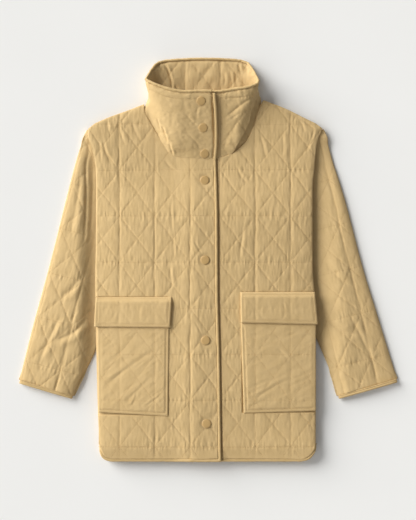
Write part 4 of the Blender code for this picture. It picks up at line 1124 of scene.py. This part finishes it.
pockets = {
    "voxel": 1.8,
    "thickness": 4.4,
    "border": (5.0, 4.0),  # flat from the edge, and rising over the next
    "groove": (0.9, 1.4),  # depth and reach along the seam
    "edge": (1.2, 1.4),  # and down over the edge
    "rise": 0.6,
    "quilt": 0.4,
    "seed": 61,
    "flapReach": 10.0,  # how fast the relief grows from under the flap
    "dragSizes": [(1.0, 1.0), (1.7, 2.3)],  # how much longer and wider each set of drag lines is
    "dragSeed": 63,
    "right": {
        # turn, half a wave along and across, and height of its drag lines
        "wrinkles": (38.0, 22.0, 3.6, 0.2),
        "folds": [
            (3.6, 0.7, 0.5, [(-224, -272), (-192, -244), (-160, -219), (-126, -196), (-92, -178)]),
            (3.2, 0.5, 0.5, [(-222, -226), (-190, -198), (-158, -166)]),
            (3.2, 0.5, 0.5, [(-176, -300), (-140, -262), (-106, -228)]),
            (1.8, 0.8, 0.5, [(-132, -304), (-113, -289), (-96, -278)]),
            (1.6, 0.5, 0.5, [(-160, -304), (-150, -286), (-146, -270)])],
        "seam": [(-222, -307.6), (-88.2, -314.2), (-86.4, -141)],
        "underFlap": -138.0},
    "left": {
        "wrinkles": (24.0, 30.0, 5.0, 0.22),
        "folds": [
            (2.4, 0.7, 0.5, [(140, -180), (154, -196), (170, -212)]),
            (3.0, 0.7, 0.5, [(90, -290), (130, -262), (176, -240)])],
        "seam": [(213, -304.6), (78.3, -308.6), (72.4, -141)],
        "underFlap": -130.0},
}


def borders(x, y, kind, outline, seam):
    # share of the relief inside the border, the groove along the seam, and the drop over the edge
    edge = outlineDistance(x, y, outline)
    (groove, grooveReach), (drop, dropReach) = kind["groove"], kind["edge"]
    depth = groove * np.exp(-(lineDistance(x, y, seam) / grooveReach) ** 2)
    return above(edge, *kind["border"]), depth, drop * np.exp(-edge / dropReach)


def makePocket(side):
    settings = pockets[side]
    node = "pocket_" + side
    name = "pocket" + side.capitalize()
    piece, outline = clothSlab(name, node, pockets["thickness"], pockets["voxel"], True)
    lattice = lattices["front_" + side]
    corners = settings["seam"]

    def top(x, y):
        inside, groove, drop = borders(x, y, pockets, outline, corners)
        turn, long, wide, height = settings["wrinkles"]
        c, s = turnOf(turn)
        along, across = x * c + y * s, y * c - x * s
        drag = sum(
            height * softNoise(along / (longer * long), across / (wider * wide), pockets["dragSeed"] + number)
            for number, (longer, wider) in enumerate(pockets["dragSizes"]))
        relief = pockets["rise"] + quiltRelief(lattice, x, y, pockets["seed"], pockets["quilt"]) + drag
        relief = (relief + foldRelief(settings["folds"], x, y)) * inside - groove
        relief = relief * below(y, settings["underFlap"], pockets["flapReach"])
        return layers["pocketTop"] + crown(x, y) + relief - drop

    shapeSlab(piece, pockets["thickness"], level(layers["pocketUnder"]), top, crown)
    dress(piece, "cloth", "quilted_cloth", node)
    box = [pick(c[axis] for c in corners) for pick in (min, max) for axis in (0, 1)]
    sewStitches(name + "Stitches", piece, seamRun(corners) + latticeRuns(lattice, box))


flaps = {
    "voxel": 2.0,
    "thickness": 4.0,
    "hinge": 11.0,
    "border": (5.0, 4.0),
    "groove": (0.6, 1.3),
    "edge": (1.2, 1.4),
    "rise": 0.4,
    "quilt": 0.5,
    "seed": 71,
    "right": {
        "seam": [(-226, -81), (-228, -132.6), (-84.2, -133.6), (-80.6, -81), (-226, -81)],
        "folds": [(2.2, 0.35, 0.5, [(-138, -92), (-141, -112), (-139, -134)])],
        "hingeY": -77.0},
    "left": {
        "seam": [(212, -72.8), (217.6, -127.5), (72.2, -123.6), (71.4, -72.8), (212, -72.8)],
        "folds": [(2.0, 0.6, 0.5, [(150, -84), (156, -104), (152, -124)])],
        "hingeY": -67.0},
}


def makeFlap(side):
    settings = flaps[side]
    node = "flap_" + side
    name = "flap" + side.capitalize()
    piece, outline = clothSlab(name, node, flaps["thickness"], flaps["voxel"], False)
    lattice = lattices["front_" + side]

    def under(x, y):
        share = below(y, settings["hingeY"], flaps["hinge"])
        return layers["pocketUnder"] + (layers["flapUnder"] - layers["pocketUnder"]) * share

    def top(x, y):
        inside, groove, drop = borders(x, y, flaps, outline, settings["seam"])
        relief = flaps["rise"] + quiltRelief(lattice, x, y, flaps["seed"], flaps["quilt"])
        relief = (relief + foldRelief(settings["folds"], x, y)) * inside - groove
        return under(x, y) + crown(x, y) + flaps["thickness"] + relief - drop

    shapeSlab(piece, flaps["thickness"], under, top, crown)
    dress(piece, "cloth", "quilted_cloth", node)
    sewStitches(name + "Stitches", piece, seamRun(settings["seam"]))


for side in ("right", "left"):
    makePocket(side)
    makeFlap(side)
report("pockets and flaps made")

tapes = {
    "width": 7.4,
    "voxel": 1.2,
    "step": 3.0,  # along the paths
    "ripple": 0.3,
    "ripples": [(5.0, 1.0), (17.0, 0.6)],  # half a wave, and share of the height
    "rippleSeed": 81,
    "resting": 1.0,  # no ripples up to this height
    "mitre": 0.6,  # the least that a corner's width is divided by
    # across from the sewn side to the outer edge, and up from the underside
    "profile": [
        (-3.7, 0.4), (-3.8, 3.6), (-3.4, 4.3), (-3.0, 3.6), (-2.6, 2.6), (-2.2, 3.6), (-1.7, 4.6), (-0.9, 5.1),
        (1.0, 5.3), (2.6, 5.1), (3.4, 4.5), (3.8, 3.4), (3.7, 1.5), (3.0, 0.4), (1.6, 0.0), (-3.2, 0.0)],
    "hemY": -411.3,
    "hemEnds": (-193.0, 186.0),  # where the straight hem starts, next to the corners
    "underLapX": -34.0,  # where the left front's tape ends, under the lap
    "cornerRight": [(-219.6, -385.0), (-219.6, -395.6), (-214.2, -405.2), (-206.0, -409.8), (-196.0, -411.3)],
    "cornerLeft": [(217.0, -380.0), (216.4, -391.0), (209.4, -402.6), (201.0, -408.8), (189.0, -411.3)],
    "sink": (3.4, 16.0),  # how deep and how far its end at the side seam goes under
    # the lap's end on the collar, from its top to the neck: x, y, z of the tape's middle
    "lapOnCollar": [(10.6, 337, 48.6), (13.3, 306, 42.6), (14.8, 270, 34.0), (14.8, 244, 26.4), (14.0, 223, 21.4)],
    "middleHeight": 2.5,
}


def sweptTape(name, node, path, way):
    # the tape's cross-section carried along its path, its outer edge to the right where way is 1
    path = [Vector(p) for p in path]
    mesh = bmesh.new()
    ring = [mesh.verts.new((across, up, 0.0)) for across, up in tapes["profile"]]
    mesh.faces.new(ring)
    edges = mesh.edges[:]
    verts, last = ring, Matrix.Identity(4)
    for k, here in enumerate(path):
        back = here - path[max(k - 1, 0)]
        ahead = path[min(k + 1, len(path) - 1)] - here
        back, ahead = (back or ahead).normalized(), (ahead or back).normalized()
        along = (back + ahead).normalized()
        out = Vector((along.y, -along.x, 0.0)).normalized() * way
        up = out.cross(along) * (1 if out.cross(along).z > 0 else -1)
        stretch = 1.0 / max(out.dot(Vector((ahead.y, -ahead.x, 0.0)).normalized() * way), tapes["mitre"])
        place = Matrix((
            (out.x * stretch, up.x, along.x, here.x), (out.y * stretch, up.y, along.y, here.y),
            (out.z * stretch, up.z, along.z, here.z), (0, 0, 0, 1)))
        if k:
            verts, edges = grownRing(mesh, edges)
        bmesh.ops.transform(mesh, matrix=place @ last.inverted(), verts=verts)
        last = place
    mesh.faces.new(orderedLoop(edges))
    bmesh.ops.scale(mesh, verts=mesh.verts, vec=(mm, mm, mm))
    bmesh.ops.recalc_face_normals(mesh, faces=mesh.faces)
    finishTape(newPiece(name, mesh), node)


def orderedLoop(edges):
    # the corners of a closed loop of edges, in order
    loop = [edges[0].verts[0], edges[0].verts[1]]
    rest = set(edges[1:])
    while len(loop) < len(edges):
        edge = next(e for e in rest if loop[-1] in e.verts)
        rest.remove(edge)
        loop.append(edge.other_vert(loop[-1]))
    return loop


def finishTape(piece, node):
    # ripples its cloth, but not where it rests
    places, directions = points(piece), normals(piece)
    x, y, z = places.T
    ripple = sum(
        share * softNoise((x + y) / wave, (x - y) / wave, tapes["rippleSeed"] + number)
        for number, (wave, share) in enumerate(tapes["ripples"]))
    setPoints(piece, places + directions * (tapes["ripple"] * ripple * (z > tapes["resting"]))[:, None])
    dress(piece, "tape", "tape", node)


def sunk(path):
    # the path with its end let into the side seam
    depth, reach = tapes["sink"]
    start = path[0]
    return [(x, y, z - depth * (1.0 - float(smoothStep(math.dist((x, y), start[:2]) / reach)))) for x, y, z in path]


def tapePaths():
    # the paths of the tapes along the front edge and the hem, at the tape's underside
    half, step, hemY = tapes["width"] / 2, tapes["step"], tapes["hemY"]
    startX, endX = tapes["hemEnds"]
    cornerRight, cornerLeft = smoothLine(tapes["cornerRight"], step), smoothLine(tapes["cornerLeft"], step)
    lapLine = smoothLine([(x - half, y) for x, y in lapEdge[:-1]] + [(lapEdge[-1][0] - half, hemY)], step)
    onCollar = [(x, y, z - tapes["middleHeight"]) for x, y, z in tapes["lapOnCollar"]]
    front = smoothLine(onCollar + [(*lapLine[0], layers["lapUnder"])], step)
    front += [(x, y, layers["lapUnder"] + crown(x, y)) for x, y in lapLine[1:]]
    hemRight = cornerRight + [(x, hemY) for x in np.arange(startX, lapLine[-1][0] - step, step)]
    front += [(x, y, float(frontRightUnder(x, y)) + crown(x, y)) for x, y in hemRight[::-1]]
    hemLeft = cornerLeft + [(x, hemY) for x in np.arange(endX, tapes["underLapX"], -step)]
    under = [(x, y, layers["frontUnder"] + crown(x, y)) for x, y in hemLeft]
    hemBack = cornerRight + [(x, hemY) for x in np.arange(startX, endX + 1.0, step)] + cornerLeft[::-1]
    return sunk(front[::-1])[::-1], sunk(under), [(x, y, 0.0) for x, y in hemBack]


frontPath, underPath, backPath = tapePaths()
sweptTape("tapeFrontRight", "binding_front_right", frontPath, -1)
sweptTape("tapeFrontLeft", "binding_front_left", underPath, -1)
sweptTape("tapeBack", "binding_back", backPath, 1)
finishTape(remeshed(newPiece("tapeCollar", joinedCopy("binding_collar")), tapes["voxel"]), "binding_collar")

cuffs = {
    "steps": 72,
    # powers that square the mouth: across, above and below
    "squareness": (0.75, 0.8, 0.4),
    # place along the sleeve from the tape's inner side, as a share of its width, and inset, round the open mouth
    "profile": [
        (0.0, 0.5), (0.1, 0.0), (0.3, 0.5), (0.36, 0.9), (0.42, 0.4), (0.6, 0.0), (0.88, 0.3), (1.0, 1.4),
        (0.96, 2.6), (0.7, 3.0), (0.0, 3.0)],
}


def makeCuff(side):
    node = "binding_cuff_" + side
    outerEnd, innerEnd, down = sleeveEnd(side)
    across = (outerEnd - innerEnd).normalized()
    solid = joinedCopy(node)
    corners = [v.co / mm for v in solid.verts]
    solid.free()
    low, high = (pick(c.xy.dot(across) for c in corners) for pick in (min, max))
    near, far = (pick(c.xy.dot(down) for c in corners) for pick in (min, max))
    top = max(c.z for c in corners)
    middle, width, length = across * (low + high) / 2, (high - low) / 2, far - near
    mesh = bmesh.new()
    bmesh.ops.create_circle(mesh, cap_ends=False, segments=cuffs["steps"], radius=1.0)
    sideways, upper, lower = cuffs["squareness"]
    for vert in mesh.verts:
        c, s = vert.co.xy
        upright = upper if s > 0 else lower
        vert.co = (math.copysign(abs(c) ** sideways, c) * width, 0.0, math.copysign(abs(s) ** upright, s) * top / 2)
    edges, verts, past, inset = mesh.edges[:], mesh.verts[:], 0.0, 0.0
    first = edges
    for k, (place, inwards) in enumerate(cuffs["profile"]):
        if k:
            verts, edges = grownRing(mesh, edges)
        bmesh.ops.scale(mesh, verts=verts, vec=(
            (width - inwards) / (width - inset), 1.0, (top / 2 - inwards) / (top / 2 - inset)))
        bmesh.ops.translate(mesh, verts=verts, vec=(0.0, place * length - past, 0.0))
        past, inset = place * length, inwards
    bmesh.ops.bridge_loops(mesh, edges=first + edges)
    origin = middle + down * near
    bmesh.ops.transform(mesh, verts=mesh.verts, matrix=Matrix.Scale(mm, 4) @ Matrix((
        (across.x, down.x, 0, origin.x), (across.y, down.y, 0, origin.y), (0, 0, 1, top / 2), (0, 0, 0, 1))))
    bmesh.ops.recalc_face_normals(mesh, faces=mesh.faces)
    dress(newPiece("tapeCuff" + side.capitalize(), mesh), "tape", "tape", node)


makeCuff("right")
makeCuff("left")
report("tapes made")

snaps = {
    "steps": 48,
    "onCollar": 3,
    # radius and height of the cap, from the middle out
    "profile": [
        (0.0, 1.5), (4.0, 1.48), (7.0, 1.4), (8.3, 1.25), (8.9, 1.0), (9.2, 0.6), (9.2, 0.0),
        (0.0, 0.0)],
    "lift": 2.6,  # of the caps on the collar, out of its leaning face
    "foot": (203.0, 16.6),  # y and z where that face starts
    "sink": 1.2,  # of the others, with the lap
}


def makeSnap(number, x, y):
    mesh = bmesh.new()
    corners = [mesh.verts.new((radius * mm, 0.0, height * mm)) for radius, height in snaps["profile"]]
    edges = [mesh.edges.new(pair) for pair in zip(corners, corners[1:])]
    bmesh.ops.spin(
        mesh, geom=corners + edges, cent=(0, 0, 0), axis=(0, 0, 1), angle=2 * math.pi, steps=snaps["steps"],
        use_merge=True)
    bmesh.ops.remove_doubles(mesh, verts=mesh.verts, dist=0.01 * mm)
    bmesh.ops.recalc_face_normals(mesh, faces=mesh.faces)
    piece = newPiece(f"snapCap{number}", mesh)
    if number <= snaps["onCollar"]:
        lean, lift = math.radians(collar["lapLean"]), snaps["lift"]
        footY, footZ = snaps["foot"]
        height = footZ + (y - footY) * math.tan(lean) + lift * math.cos(lean)
        place = Vector((x, y - lift * math.sin(lean), height))
        turn = Matrix.Rotation(lean, 4, "X")
    else:
        sink = snaps["sink"] * above(x, *frontRight["lapSink"][1])
        place = Vector((x, y, layers["lapTop"] + crown(x, y) - sink))
        turn = Matrix.Identity(4)
    piece.data.transform(Matrix.Translation(place * mm) @ turn)
    dress(piece, "enamel", "snap_enamel", f"snap_{number}")


for number, (x, y) in enumerate(snapPlaces, 1):
    makeSnap(number, x, y)
report("snaps made")

studio = {
    "floorSize": 4.0,  # metres
    "floorGap": 0.6,
    "skyStrength": 0.27,
    "sunStrength": 5.3,
    # in degrees, the turn from the left towards the collar
    "sunAngle": 48.0,
    "sunTurn": 32.0,
    "sunHeight": 22.0,
    "fillStrength": 1.25,
    "fillAngle": 70.0,
    "fillTurn": -50.0,
    "fillHeight": 14.0,
    "camera": (-0.001, -0.002, 2.976),  # metres
    "lens": 100.0,
    "sensor": 36.0,
}


def makeStudio():
    mesh = bmesh.new()
    bmesh.ops.create_grid(mesh, x_segments=1, y_segments=1, size=studio["floorSize"])
    floor = newPiece("floor", mesh)
    floor.data.transform(Matrix.Translation((0, 0, -studio["floorGap"] * mm)))
    floor.data.materials.append(finishes["floor"])
    world = bpy.data.worlds.new("paleRoom")
    scene.world = world
    world.use_nodes = True
    world.node_tree.nodes["Background"].inputs["Color"].default_value = (1.0, 1.0, 1.0, 1.0)
    world.node_tree.nodes["Background"].inputs["Strength"].default_value = studio["skyStrength"]
    for name in ("sun", "fill"):
        light = bpy.data.lights.new(name + "Light", "SUN")
        light.energy = studio[name + "Strength"]
        light.angle = math.radians(studio[name + "Angle"])
        lightObject = bpy.data.objects.new(name + "Light", light)
        turn, height = math.radians(studio[name + "Turn"]), math.radians(studio[name + "Height"])
        direction = Vector((-math.cos(turn) * math.cos(height), math.sin(turn) * math.cos(height), math.sin(height)))
        lightObject.rotation_euler = direction.to_track_quat("Z", "Y").to_euler()
        scene.collection.objects.link(lightObject)
    camera = bpy.data.cameras.new("camera")
    camera.lens = studio["lens"]
    camera.sensor_width = studio["sensor"]
    cameraObject = bpy.data.objects.new("camera", camera)
    cameraObject.location = studio["camera"]
    scene.collection.objects.link(cameraObject)
    scene.camera = cameraObject
    scene.view_settings.view_transform = "Standard"


makeStudio()
report("studio made")

report("cloth declared")
